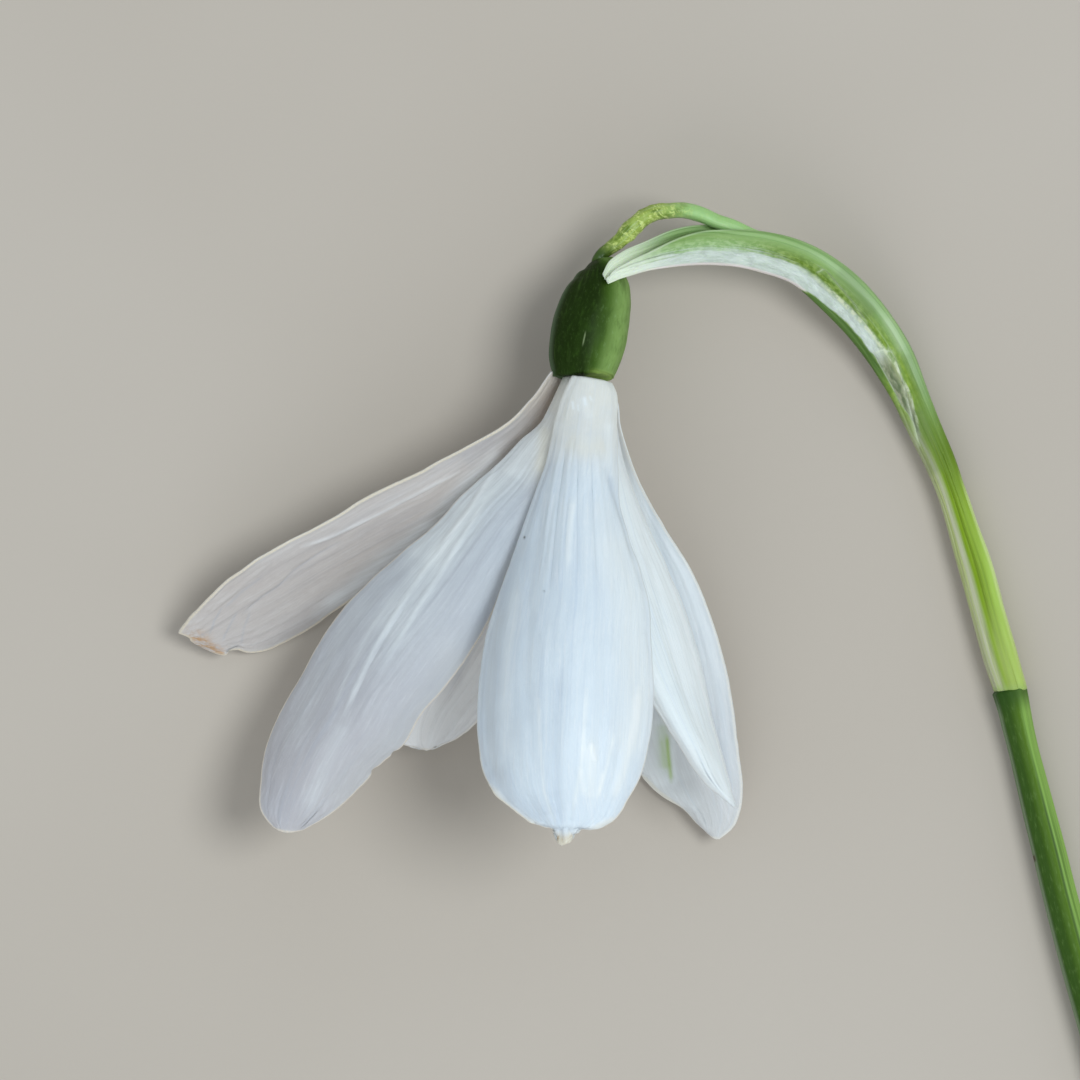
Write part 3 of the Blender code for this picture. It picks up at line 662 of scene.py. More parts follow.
# ---------------------------------------------------------------- materials
def tepal_material(name, claw, mid, low, rim_colour, shade, under, rough=0.45, glow=0.6, rim_from=0.0, rim_amount=0.75, fibres=0.24, lit=(0.94, 0.99, 1.0)):
    """Petal skin: lengthwise veins and streaks over a gradient from claw to tip, a pale rim, with painted shade and
    painted highlights where the marks lie.
    """
    t = Tree(name)
    u, v, across, along = (t.attr(k) for k in ("u", "v", "across", "along"))
    rim, upper = t.attr("rim"), t.attr("upper")
    veins = t.noise(t.vector(t.math("MULTIPLY", u, 11.0), t.math("MULTIPLY", along, 0.07), 0.3), 1.0, 4.0, 0.62)
    streak = t.noise(t.vector(t.math("MULTIPLY", u, 3.2), t.math("MULTIPLY", along, 0.11), 4.7), 1.0, 2.0, 0.5, 0.4)
    fibre = t.noise(t.vector(t.math("MULTIPLY", across, 6.0), t.math("MULTIPLY", along, 0.42), 1.9), 1.0, 3.0, 0.6)
    blotch = t.noise(t.vector(across, along, 2.0), 0.32, 3.0, 0.55)
    grain = t.noise(t.vector(t.math("MULTIPLY", across, 2.0), along, 7.0), 7.0, 2.0, 0.6)
    cell = t.noise(t.vector(t.math("MULTIPLY", across, 9.0), t.math("MULTIPLY", along, 3.2), 5.0), 1.0, 2.0, 0.7)
    colour = t.mix(t.ramp(v, 0.09, 0.25), claw, mid)
    colour = t.mix(t.ramp(v, 0.3, 0.95), colour, low)
    lined = t.ramp(v, 0.08, 0.24, 0.3, 1.0)
    colour = t.mix(t.math("MULTIPLY", lined, t.ramp(veins, 0.47, 0.72, 0.0, 0.5)), colour, shade)
    colour = t.mix(t.math("MULTIPLY", lined, t.ramp(streak, 0.48, 0.75, 0.0, 0.3)), colour, shade)
    colour = t.mix(t.ramp(blotch, 0.5, 0.75, 0.0, 0.22), colour, shade)
    # The fibre and cell grain is whitened in flecks: partly the tissue's own grain, partly painted sparkle.
    colour = t.mix(t.ramp(fibre, 0.46, 0.76, 0.0, fibres), colour, (0.97, 0.98, 1.0))
    colour = t.mix(t.ramp(cell, 0.5, 0.78, 0.0, 0.5 * fibres), colour, (1.0, 1.0, 1.0))
    colour = t.mix(t.ramp(cell, 0.48, 0.24, 0.0, 0.13), colour, shade)
    # Painted shade marks darken towards a blue grey and painted light marks brighten towards the lit colour: shadows,
    # creases and highlights laid into the colour.
    colour = t.mix(t.math("MULTIPLY", t.attr("painted_shade"), t.ramp(fibre, 0.3, 0.7, 0.75, 1.0)), colour, (0.36, 0.40, 0.47))
    colour = t.mix(t.math("MULTIPLY", t.attr("painted_light"), t.ramp(fibre, 0.25, 0.7, 0.7, 1.0)), colour, lit)
    colour = t.mix(t.attr("warm"), colour, (0.86, 0.80, 0.64))
    withered = t.math("MULTIPLY", t.attr("tan"), t.ramp(t.noise(t.vector(across, along, 3.0), 2.2, 4.0, 0.65), 0.36, 0.62), clamp=True)
    colour = t.mix(withered, colour, (0.50, 0.31, 0.17))
    colour = t.mix(t.attr("green"), colour, (0.46, 0.62, 0.20))
    edge = t.math("MULTIPLY", t.ramp(rim, 0.03, 0.17, rim_amount, 0.0), t.ramp(grain, 0.25, 0.65, 0.45, 1.0))
    edge = t.math("MULTIPLY", edge, t.ramp(v, rim_from, rim_from + 0.2, 0.15, 1.0))
    colour = t.mix(edge, colour, rim_colour)
    speck = t.attr("speck")
    colour = t.mix(speck, colour, (0.05, 0.04, 0.035))
    colour = t.mix(t.math("SUBTRACT", 1.0, upper), colour, t.mix(t.ramp(veins, 0.45, 0.8, 0.0, 0.4), under, shade))
    height = t.math("ADD", t.math("MULTIPLY", veins, 1.0), t.math("MULTIPLY", fibre, 0.28))
    height = t.math("ADD", height, t.math("MULTIPLY", grain, 0.12))
    height = t.math("ADD", height, t.math("MULTIPLY", cell, 0.22))
    t.set(
        Base_Color=colour,
        Roughness=t.ramp(fibre, 0.3, 0.7, rough + 0.07, rough - 0.06, False),
        Normal=t.bump(height, 4.5e-5, 0.9),
    )
    s = t.shader.inputs
    s["Subsurface Weight"].default_value = glow
    s["Subsurface Radius"].default_value = (1.0, 1.0, 1.0)
    s["Subsurface Scale"].default_value = 0.0008
    s["Specular IOR Level"].default_value = 0.32
    return t.material


def green_skin(name, build, rough, spec=0.45, glow=0.12):
    t = Tree(name)
    colour, height, distance = build(t)
    t.set(Base_Color=colour, Normal=t.bump(height, distance, 0.9))
    s = t.shader.inputs
    s["Roughness"].default_value = rough
    s["Specular IOR Level"].default_value = spec
    s["Subsurface Weight"].default_value = glow
    s["Subsurface Radius"].default_value = (0.7, 1.0, 0.4)
    s["Subsurface Scale"].default_value = 0.0006
    return t.material


# ---------------------------------------------------------------- tepals
def line_distance(x, y, points):
    """Distance in mm to a polyline in plan, and the position along it from 0 to 1."""
    p = np.array(points, float)
    seg = np.diff(p, axis=0)
    size = np.linalg.norm(seg, axis=1)
    run = np.concatenate([[0], np.cumsum(size)]) / size.sum()
    best = np.full(x.shape, 1e9)
    where = np.zeros(x.shape)
    for k in range(len(seg)):
        t = ((x - p[k, 0]) * seg[k, 0] + (y - p[k, 1]) * seg[k, 1]) / size[k] ** 2
        t = np.clip(t, 0, 1)
        d = np.hypot(x - p[k, 0] - t * seg[k, 0], y - p[k, 1] - t * seg[k, 1])
        near = d < best
        best = np.where(near, d, best)
        where = np.where(near, run[k] + t * (run[k + 1] - run[k]), where)
    return best, where


def stroke(x, y, points, width):
    """A soft line in plan that fades in and out at its ends."""
    d, t = line_distance(x, y, points)
    return np.exp(-((d / width) ** 2)) * (0.35 + 0.65 * step(0, 0.12, t) * step(1, 0.88, t))


def tepal_grid(name, cols, rows):
    pairs, depths = TEPALS[name]
    pairs = np.array(pairs, float)
    along_steps = length_steps((pairs[:, :2] + pairs[:, 2:]) / 2)
    s = np.linspace(0, 1, rows)
    v = 1 - (1 - s) ** 1.35
    t = np.linspace(-1, 1, cols)
    u = t * (1.25 - 0.25 * t * t)
    edges = smooth_curve(v, along_steps, pairs)
    heights = smooth_curve(v, DEPTH_STEPS, depths)
    left, right = edges[:, None, :2], edges[:, None, 2:]
    U = np.broadcast_to(u[None, :], (rows, cols)).copy()
    V = np.broadcast_to(v[:, None], (rows, cols)).copy()
    plan = (left + right) / 2 + U[:, :, None] * (right - left) / 2
    low, mid, high = heights[:, 0:1], heights[:, 1:2], heights[:, 2:3]
    z = mid + U * (high - low) / 2 + U**2 * ((low + high) / 2 - mid)
    P = np.dstack([plan, z])
    run = np.linalg.norm(np.diff(P, axis=0), axis=2)
    along = np.concatenate([np.zeros((1, cols)), np.cumsum(run, 0)])
    span = np.linalg.norm(np.diff(P, axis=1), axis=2)
    across = np.concatenate([np.zeros((rows, 1)), np.cumsum(span, 1)], 1)
    width = across[:, -1:]
    rim = np.minimum(across, width - across)
    rim = np.minimum(rim, (along[-1:] - along) + 0.0)
    across = across - width / 2
    return P, U, V, along, across, rim, width


def tepal(name, node, material, seed, cols=84, rows=300, thickness=0.28, tip=None, roll=0.05, ripple=0.06, ribs=0.03, tip_from=0.93, crumple=0.0, neck=0.0):
    P, U, V, along, across, rim, width = tepal_grid(node, cols, rows)
    normal = grid_normals(P)
    tip_way = P[-1].mean(0) - P[-12].mean(0)
    tip_way /= np.linalg.norm(tip_way)
    middle = (P[:, :1] + P[:, -1:]) / 2
    P = middle + (P - middle) * (1 - neck * step(0.977, 0.989, V) * (1 - 0.35 * step(0.991, 1.0, V)))[:, :, None]
    if tip is not None:
        reach = np.interp(U, np.linspace(-1, 1, len(tip)), tip)
        P = P + (reach * step(tip_from, 1.0, V))[:, :, None] * tip_way
    x, y = P[:, :, 0].copy(), P[:, :, 1].copy()
    # broad soft folds, lengthwise ribs and a rolled margin
    lift = ripple * noise(across * 0.42 + 20, along * 0.11 + 3, seed, 2) * step(0, 0.15, V)
    ribbed = ribs * step(0.02, 0.2, V) * step(0.3, 4.0, width)
    lift += ribbed * noise(U * 6.5 + 30, along * 0.05 + 8, seed + 1, 2)
    lift += 0.5 * ribbed * noise(U * 17 + 9, along * 0.09 + 2, seed + 2)
    lift *= (step(-0.1, 0.9, rim) * 0.75 + 0.25) * step(0.2, 2.6, width)
    lift += roll * (0.25 + 0.75 * step(0.4, 2.4, width)) * bump(rim, 0.1, 0.16) * (0.65 + 0.5 * noise(along * 0.8 + 5, U * 2 + 9, seed + 3))
    lift += crumple * noise(x * 2.2 + 9, y * 2.2 + 40, seed + 8, 2) * step(0.965, 0.99, V)
    lift += 0.03 * noise(across * 1.5 + 12, along * 0.9 + 4, seed + 4, 2)
    # The dark marks paint shade and the light marks paint highlights and lighten shadows; fold and cut marks shape the
    # sheet.
    masks = {k: np.zeros_like(x) for k in ("painted_light", "painted_shade", "warm", "tan", "green", "speck")}
    for kind, amount, wide, points in MARKS.get(node, ()):
        if kind == "fold":
            lift = lift + amount * stroke(x, y, points, wide)
        elif kind == "cut":
            way = (P[:, cols // 2][:, None, :] - P)
            way /= np.maximum(np.linalg.norm(way, axis=2, keepdims=True), 1e-6)
            d, _ = line_distance(x, y, points)
            P = P + way * (amount * np.exp(-((d / wide) ** 2)) * step(1.6, 0.0, rim))[:, :, None]
        else:
            masks[kind] = np.clip(masks[kind] + amount * stroke(x, y, points, wide), 0, 1)
    wave = 0.022 * noise(along * 1.5 + 3, U + 40, seed + 5, 2) * step(0.35, 0.0, rim) * step(0.1, 0.2, V)
    sideways = np.cross(normal, np.gradient(P, axis=0))
    sideways /= np.maximum(np.linalg.norm(sideways, axis=2, keepdims=True), 1e-9)
    P = P + lift[:, :, None] * normal + wave[:, :, None] * sideways
    P[:, :, 2] = np.maximum(P[:, :, 2], 0.17)
    thick = thickness * (0.42 + 0.58 * step(0.0, 0.7, rim)) * (1 + 0.25 * step(0.15, 0.0, V))
    made = dict(u=U, v=V, across=across, along=along, rim=rim, **masks)
    obj = shell(name, P, thick, made)
    return finish_piece(obj, node, material)


# ---------------------------------------------------------------- colours of the tepals
FRONT = tepal_material("skin_front", (0.80, 0.79, 0.73), (0.72, 0.80, 0.88), (0.74, 0.83, 0.93), (0.86, 0.76, 0.58), (0.58, 0.66, 0.78), (0.78, 0.80, 0.78), 0.42, rim_from=0.72, rim_amount=0.9, fibres=0.22)
# Painted shade: the inner left tepal is greyed from its middle to its tip and the outer left one all over, though all
# six tepals are the same white.
LEFT = tepal_material("skin_inner_left", (0.86, 0.82, 0.72), (0.57, 0.60, 0.64), (0.51, 0.49, 0.51), (0.84, 0.72, 0.58), (0.46, 0.47, 0.52), (0.70, 0.70, 0.68), rim_from=0.2, rim_amount=0.95, fibres=0.12)
FAR_LEFT = tepal_material("skin_outer_left", (0.54, 0.48, 0.43), (0.56, 0.505, 0.475), (0.56, 0.51, 0.485), (0.84, 0.70, 0.50), (0.44, 0.41, 0.41), (0.72, 0.72, 0.72), rim_from=0.0, rim_amount=0.9, fibres=0.1, lit=(0.95, 0.95, 0.96))
# Painted light: the back and inner right tepals are made brighter than the front one.
BACK = tepal_material("skin_inner_back", (0.92, 0.88, 0.84), (1.0, 0.97, 0.97), (0.99, 0.95, 0.94), (0.90, 0.80, 0.68), (0.72, 0.69, 0.69), (0.70, 0.72, 0.74), rim_from=0.1)
RIGHT = tepal_material("skin_inner_right", (0.92, 0.98, 1.0), (0.90, 0.98, 1.0), (0.90, 0.98, 1.0), (0.98, 0.98, 0.96), (0.74, 0.83, 0.94), (0.74, 0.76, 0.76), 0.42)
# Painted light and shade: the outer right tepal is brightened in its middle and greyed towards its tip.
FAR_RIGHT = tepal_material("skin_outer_right", (0.84, 0.87, 0.86), (0.86, 0.94, 1.0), (0.66, 0.66, 0.66), (0.92, 0.86, 0.74), (0.66, 0.71, 0.77), (0.76, 0.80, 0.82))

tepal("front_tepal", "tepal_outer_front", FRONT, 11, cols=112, rows=380, tip=(0.02, 0.46, 0.6, 0.7, 0.62, 0.48, 0.44, 0.1), tip_from=0.984, crumple=0.2, roll=0.06, neck=0.42)
tepal("inner_left_tepal", "tepal_inner_left", LEFT, 23, cols=100, rows=340, tip=(0.0, 0.14, 0.22, 0.25, 0.22, 0.13, 0.0), tip_from=0.95)
tepal("far_left_tepal", "tepal_outer_left", FAR_LEFT, 37, cols=88, rows=320, tip=(0.3, 0.12, 0.04, 0.16, 0.1, 0.0), tip_from=0.97, roll=0.1)
tepal("inner_back_tepal", "tepal_inner_back", BACK, 41, cols=72, rows=260, tip=(0.0, 0.08, 0.12, 0.08, 0.0), tip_from=0.95)
tepal("inner_right_tepal", "tepal_inner_right", RIGHT, 53, cols=84, rows=320, tip=(0.0, 0.2, 0.26, 0.2, 0.0), tip_from=0.96)
tepal("far_right_tepal", "tepal_outer_right", FAR_RIGHT, 67, cols=100, rows=320, tip=(0.0, 0.1, 0.14, 0.1, 0.0), tip_from=0.97)


# ---------------------------------------------------------------- stalks and ovary
def stalk_rows(table, count, ends=None):
    table = np.array(table, float)
    return smooth_curve(np.linspace(0, 1, count), length_steps(table[:, :3]), table)


def stalk_rings(row, cols, shape):
    """Rings round a centre line; shape(angle, v, along) scales each radius. Angle 0 is the top."""
    centre, radius = row[:, :3], row[:, 3]
    tangent, side, top = tube_frames(centre)
    angle = np.linspace(-np.pi, np.pi, cols, endpoint=False)
    along = np.concatenate([[0], np.cumsum(np.linalg.norm(np.diff(centre, axis=0), axis=1))])
    A = np.broadcast_to(angle[None], (len(row), cols))
    V = np.broadcast_to(np.linspace(0, 1, len(row))[:, None], A.shape)
    L = np.broadcast_to(along[:, None], A.shape)
    r = radius[:, None] * shape(A, V, L)
    rings = centre[:, None] + r[:, :, None] * (
        np.sin(A)[:, :, None] * side[:, None] + np.cos(A)[:, :, None] * top[:, None]
    )
    return rings, A, V, L, tangent


def ovary_piece():
    row = stalk_rows(OVARY, 170)
    # the centre line is eased so that the shoulder runs down in one slope
    ease = np.array([[0.86, 0.0], [1.0, 0.35], [1.02, 1.2], [0.9, 2.4], [0.62, 3.6], [0.36, 4.9], [0.14, 6.0], [0.01, 7.1]])
    down = np.concatenate([[0], np.cumsum(np.linalg.norm(np.diff(row[:, :3], axis=0), axis=1))])
    row[:, 0] = smooth_curve(np.clip(down, 0, 7.1), ease[:, 1], ease[:, 0])
    start = (row[0, :3] - row[1, :3]) / np.linalg.norm(row[0, :3] - row[1, :3])

    def shape(A, V, L):
        slope = (0.19 * bump(V, 0.09, 0.11) - 0.06 * bump(V, 0.0, 0.03)) * step(0.1, -0.8, np.sin(A))
        ribs = -slope + 0.018 * np.cos(6 * A + 0.5) * step(0, 0.3, V) + 0.012 * noise(A * 2.5 + 20, V * 1.5 + 3, 91, 2)
        return 1 + ribs - 0.01 * noise(A * 9 + 40, V * 9 + 5, 92)

    rings, A, V, L, tangent = stalk_rings(row, 96, shape)
    ragged = 0.10 * step(0.965, 1.0, V) * noise(A * 7 + 30, V + 3, 95, 2)
    rings = rings + ragged[:, :, None] * tangent[:, None]
    # a rounded lower lip
    lip = rings[-1:] * 1.0
    middle = lip.mean(1, keepdims=True)
    more = [middle + (lip - middle) * k + tangent[-1] * d for k, d in ((0.97, 0.10), (0.88, 0.13), (0.5, 0.1), (0.15, 0.1))]
    shoulder = [rings[:1].mean(1, keepdims=True) + (rings[:1] - rings[:1].mean(1, keepdims=True)) * k + start * d for k, d in ((0.3, 0.05), (0.7, 0.04))]
    rings = np.concatenate(shoulder + [rings] + more)

    def pad(a, before, after):
        return np.concatenate([np.repeat(a[:1], before, 0), a, np.repeat(a[-1:], after, 0)])

    A, V, L = (pad(a, 2, 4) for a in (A, V, L))
    return loft("ovary_body", rings, {"v": V, "angle": A, "along": L, "side": np.sin(A), "top": np.cos(A)})


def ovary_skin(t):
    v, side, along, angle = t.attr("v"), t.attr("side"), t.attr("along"), t.attr("angle")
    place = t.vector(t.math("MULTIPLY", side, 2.6), t.math("MULTIPLY", along, 0.35), t.attr("top"))
    blotch = t.noise(place, 1.0, 3.0, 0.6)
    veins = t.noise(t.vector(t.math("MULTIPLY", angle, 6.0), t.math("MULTIPLY", along, 0.18), 1.0), 1.0, 3.0, 0.6)
    cells = t.noise(t.vector(t.math("MULTIPLY", angle, 14.0), t.math("MULTIPLY", along, 4.0), 2.0), 1.0, 2.0, 0.5)
    # Dark on one side and light green on the other: partly the ovary's own colouring, partly painted shade on the
    # shaded side and painted light on the lit side.
    colour = t.mix(t.ramp(side, -0.05, 0.42), (0.011, 0.026, 0.001), (0.055, 0.115, 0.012))
    colour = t.mix(t.ramp(side, 0.28, 0.78), colour, (0.22, 0.345, 0.095))
    # Painted shade along the far edge of the lit side.
    colour = t.mix(t.ramp(side, 0.86, 0.99, 0.0, 0.55), colour, (0.14, 0.25, 0.045))
    colour = t.mix(t.ramp(blotch, 0.42, 0.72, 0.0, 0.55), colour, (0.022, 0.05, 0.005))
    colour = t.mix(t.ramp(veins, 0.55, 0.78, 0.0, 0.3), colour, (0.10, 0.18, 0.04))
    colour = t.mix(t.ramp(cells, 0.55, 0.8, 0.0, 0.15), colour, (0.16, 0.27, 0.08))
    mottle = t.noise(t.vector(t.math("MULTIPLY", angle, 9.0), t.math("MULTIPLY", along, 1.4), 4.0), 1.0, 4.0, 0.65)
    colour = t.mix(t.ramp(mottle, 0.5, 0.7, 0.0, 0.32), colour, (0.045, 0.10, 0.012))
    # Mottle in a colour that runs from dark to light across the sides, following the same painted shade and painted
    # light.
    colour = t.mix(t.ramp(mottle, 0.44, 0.28, 0.0, 0.3), colour, t.mix(t.ramp(side, -0.2, 0.6), (0.03, 0.06, 0.01), (0.30, 0.46, 0.20)))
    # Painted rim light: a paler blue-green band along the edge of the shaded side.
    colour = t.mix(t.ramp(side, -0.82, -0.98), colour, (0.09, 0.14, 0.07))
    # A yellow-green fringe at the lower lip, laid only on the lit side: partly the real fringe, partly painted light.
    colour = t.mix(t.math("MULTIPLY", t.ramp(v, 0.95, 1.0), t.ramp(side, 0.1, 0.6, 0.0, 0.5)), colour, (0.34, 0.46, 0.10))
    scratch = t.math("MULTIPLY", t.ramp(t.math("ABSOLUTE", t.math("ADD", side, 0.1)), 0.005, 0.03, 0.4, 0.0), t.ramp(t.math("ABSOLUTE", t.math("SUBTRACT", along, 5.3)), 0.15, 0.55, 1.0, 0.0))
    colour = t.mix(scratch, colour, (0.42, 0.52, 0.26))
    height = t.math("ADD", veins, t.math("MULTIPLY", cells, 0.35))
    return colour, height, 3e-5


def pedicel_piece():
    row = stalk_rows(PEDICEL + ((0.99, 7.15, 5.06, 0.44), (0.96, 6.85, 5.1, 0.5)), 430)
    # a touch further in where it is still inside the spathe
    inside = step(18.5, 16.0, row[:, 0]) * step(8.6, 10.6, row[:, 0])
    row[:, :2] -= inside[:, None] * 0.22 * np.array([[0.55, 0.83]])

    def shape(A, V, L):
        bumps = 0.16 * noise(A * 1.3 + 20, L * 2.3 + 3, 71, 2) * step(0.8, 0.9, V)
        ridge = 0.05 * np.cos(3 * A + L * 0.5) + 0.03 * noise(A * 4 + 8, L * 0.8, 72, 2)
        return 1 + bumps + ridge

    rings, A, V, L, _ = stalk_rings(row, 28, shape)
    return loft("pedicel_stalk", rings, {"v": V, "angle": A, "along": L, "side": np.sin(A), "top": np.cos(A)})


def pedicel_skin(t):
    v, side, along, angle = t.attr("v"), t.attr("side"), t.attr("along"), t.attr("angle")
    veins = t.noise(t.vector(t.math("MULTIPLY", angle, 4.0), t.math("MULTIPLY", along, 0.25), 1.0), 1.0, 3.0, 0.6)
    blotch = t.noise(t.vector(side, t.math("MULTIPLY", along, 0.9), 5.0), 1.0, 3.0, 0.6)
    painted_glint = t.noise(t.vector(t.math("ADD", t.math("MULTIPLY", angle, 0.8), t.math("MULTIPLY", along, 0.9)), t.math("MULTIPLY", along, 2.1), 7.0), 1.5, 4.0, 0.7, 0.8)
    colour = t.mix(t.ramp(v, 0.83, 0.89), (0.36, 0.60, 0.22), (0.36, 0.47, 0.09))
    near = t.ramp(v, 0.82, 0.89, 0.1, 0.95)
    colour = t.mix(t.math("MULTIPLY", near, t.ramp(blotch, 0.46, 0.64)), colour, (0.13, 0.21, 0.015))
    # Painted highlights: bright yellow-green glints on the twisted ridges near the ovary.
    colour = t.mix(t.math("MULTIPLY", near, t.ramp(painted_glint, 0.5, 0.6)), colour, (0.66, 0.75, 0.24))
    colour = t.mix(t.ramp(veins, 0.5, 0.75, 0.0, 0.4), colour, (0.56, 0.72, 0.36))
    colour = t.mix(t.ramp(v, 0.955, 0.985), colour, (0.05, 0.10, 0.012))
    height = t.math("ADD", veins, t.math("MULTIPLY", blotch, 0.6))
    return colour, height, 4e-5


def scape_piece():
    row = stalk_rows(SCAPE, 520)

    def shape(A, V, L):
        ribs = 0.022 * np.cos(8 * A + 1.0) + 0.02 * noise(A * 3.2 + 20, L * 0.06 + 3, 61, 2)
        groove = -0.032 * bump(A, 0.42, 0.1) - 0.035 * bump(A, 0.75, 0.06) - 0.03 * bump(A, -0.35, 0.08)
        node = -0.03 * bump(L, 0.0, 0.5)
        return 1 + ribs + groove * step(2.0, 9.0, L) + node

    rings, A, V, L, tangent = stalk_rings(row, 72, shape)
    cap = rings[-1:]
    middle = cap.mean(1, keepdims=True)
    steps = ((0.97, 0.05), (0.9, 0.07), (0.8, 0.05), (0.66, 0.0), (0.5, -0.03), (0.34, -0.05), (0.18, -0.1), (0.07, -0.16))
    rough = noise(np.linspace(0, 9, 72)[None] + 20, np.linspace(0, 5, len(steps))[:, None] + 2, 62, 2)
    more = [
        middle + (cap - middle) * k + (d + 0.05 * rough[i])[None, :, None] * tangent[-1]
        for i, (k, d) in enumerate(steps)
    ]
    top = rings[:1]
    mid0 = top.mean(1, keepdims=True)
    before = [mid0 + (top - mid0) * k - tangent[0] * d for k, d in ((0.3, 0.45), (0.62, 0.4))]
    all_rings = np.concatenate(before + [rings] + more)

    def pad(a, first=None, last=None):
        return np.concatenate([np.repeat(a[:1], 2, 0), a, np.repeat(a[-1:], len(steps), 0)])

    cut = np.zeros(all_rings.shape[:2])
    cut[-len(steps):] = np.array([1 - k for k, _ in steps])[:, None] * 0.9 + 0.1
    A, V, L = pad(A), pad(V), pad(L)
    return loft("scape_stalk", all_rings, {"v": V, "angle": A, "along": L, "side": np.sin(A), "top": np.cos(A), "cut": cut})


def scape_skin(t):
    side, along, angle, cut = t.attr("side"), t.attr("along"), t.attr("angle"), t.attr("cut")
    veins = t.noise(t.vector(t.math("MULTIPLY", angle, 5.0), t.math("MULTIPLY", along, 0.06), 1.0), 1.0, 4.0, 0.65)
    fine = t.noise(t.vector(t.math("MULTIPLY", angle, 16.0), t.math("MULTIPLY", along, 0.5), 3.0), 1.0, 3.0, 0.6)
    fleck = t.noise(t.vector(t.math("MULTIPLY", angle, 6.0), t.math("MULTIPLY", along, 1.6), 5.0), 1.0, 3.0, 0.6)
    # Painted shade and painted light: dark green on one side of the stalk, turning lighter yellow-green on the other.
    colour = t.mix(t.ramp(side, -0.45, 0.35), (0.038, 0.088, 0.010), (0.078, 0.16, 0.006))
    colour = t.mix(t.ramp(side, 0.22, 0.6), colour, (0.25, 0.42, 0.085))
    # Painted rim light: a thin grey-green band along the edge of the dark side.
    colour = t.mix(t.ramp(side, -0.72, -0.95), colour, (0.20, 0.27, 0.15))
    colour = t.mix(t.ramp(veins, 0.48, 0.72, 0.0, 0.6), colour, (0.05, 0.11, 0.016))
    colour = t.mix(t.ramp(fleck, 0.5, 0.78, 0.0, 0.3), colour, (0.20, 0.32, 0.09))
    # Painted shade in the groove, with a painted highlight along the groove's lip.
    groove = t.math("MULTIPLY", t.ramp(t.math("ABSOLUTE", t.math("SUBTRACT", angle, 0.42)), 0.02, 0.13, 0.6, 0.0), t.ramp(along, 3.0, 10.0))
    colour = t.mix(groove, colour, (0.02, 0.05, 0.01))
    lip = t.math("MULTIPLY", t.ramp(t.math("ABSOLUTE", t.math("SUBTRACT", angle, 0.53)), 0.02, 0.09, 0.05, 0.0), t.ramp(along, 3.0, 10.0))
    colour = t.mix(lip, colour, (0.30, 0.42, 0.18))
    # Painted shade in a second groove.
    second = t.math("MULTIPLY", t.ramp(t.math("ABSOLUTE", t.math("SUBTRACT", angle, 0.78)), 0.02, 0.1, 0.45, 0.0), t.ramp(along, 4.0, 11.0))
    colour = t.mix(second, colour, (0.04, 0.09, 0.012))
    # Painted shade at the top of the stalk, where it goes into the spathe's base.
    colour = t.mix(t.ramp(along, 0.1, 1.6, 0.75, 0.0), colour, (0.025, 0.07, 0.008))
    colour = t.mix(t.ramp(cut, 0.02, 0.12), colour, (0.46, 0.58, 0.28))
    pith = t.cells(t.place(), 3800.0)
    colour = t.mix(t.ramp(cut, 0.14, 0.3), colour, t.mix(t.ramp(pith, 0.1, 0.6), (0.52, 0.58, 0.36), (0.80, 0.82, 0.66)))
    nick = t.math("MULTIPLY", t.ramp(t.math("ABSOLUTE", t.math("SUBTRACT", along, 10.2)), 0.08, 0.3, 0.9, 0.0), t.ramp(side, -0.84, -0.97))
    colour = t.mix(nick, colour, (0.07, 0.045, 0.02))
    height = t.math("ADD", t.math("MULTIPLY", fine, 0.5), veins)
    return colour, height, 4e-5


finish_piece(ovary_piece(), "ovary", green_skin("skin_ovary", ovary_skin, 0.5, 0.09, 0.03))
finish_piece(pedicel_piece(), "pedicel", green_skin("skin_pedicel", pedicel_skin, 0.3, 0.3, 0.15))
finish_piece(scape_piece(), "scape", green_skin("skin_scape", scape_skin, 0.46, 0.13, 0.04))


# ---------------------------------------------------------------- spathe
SHEATH_WALL = 0.26


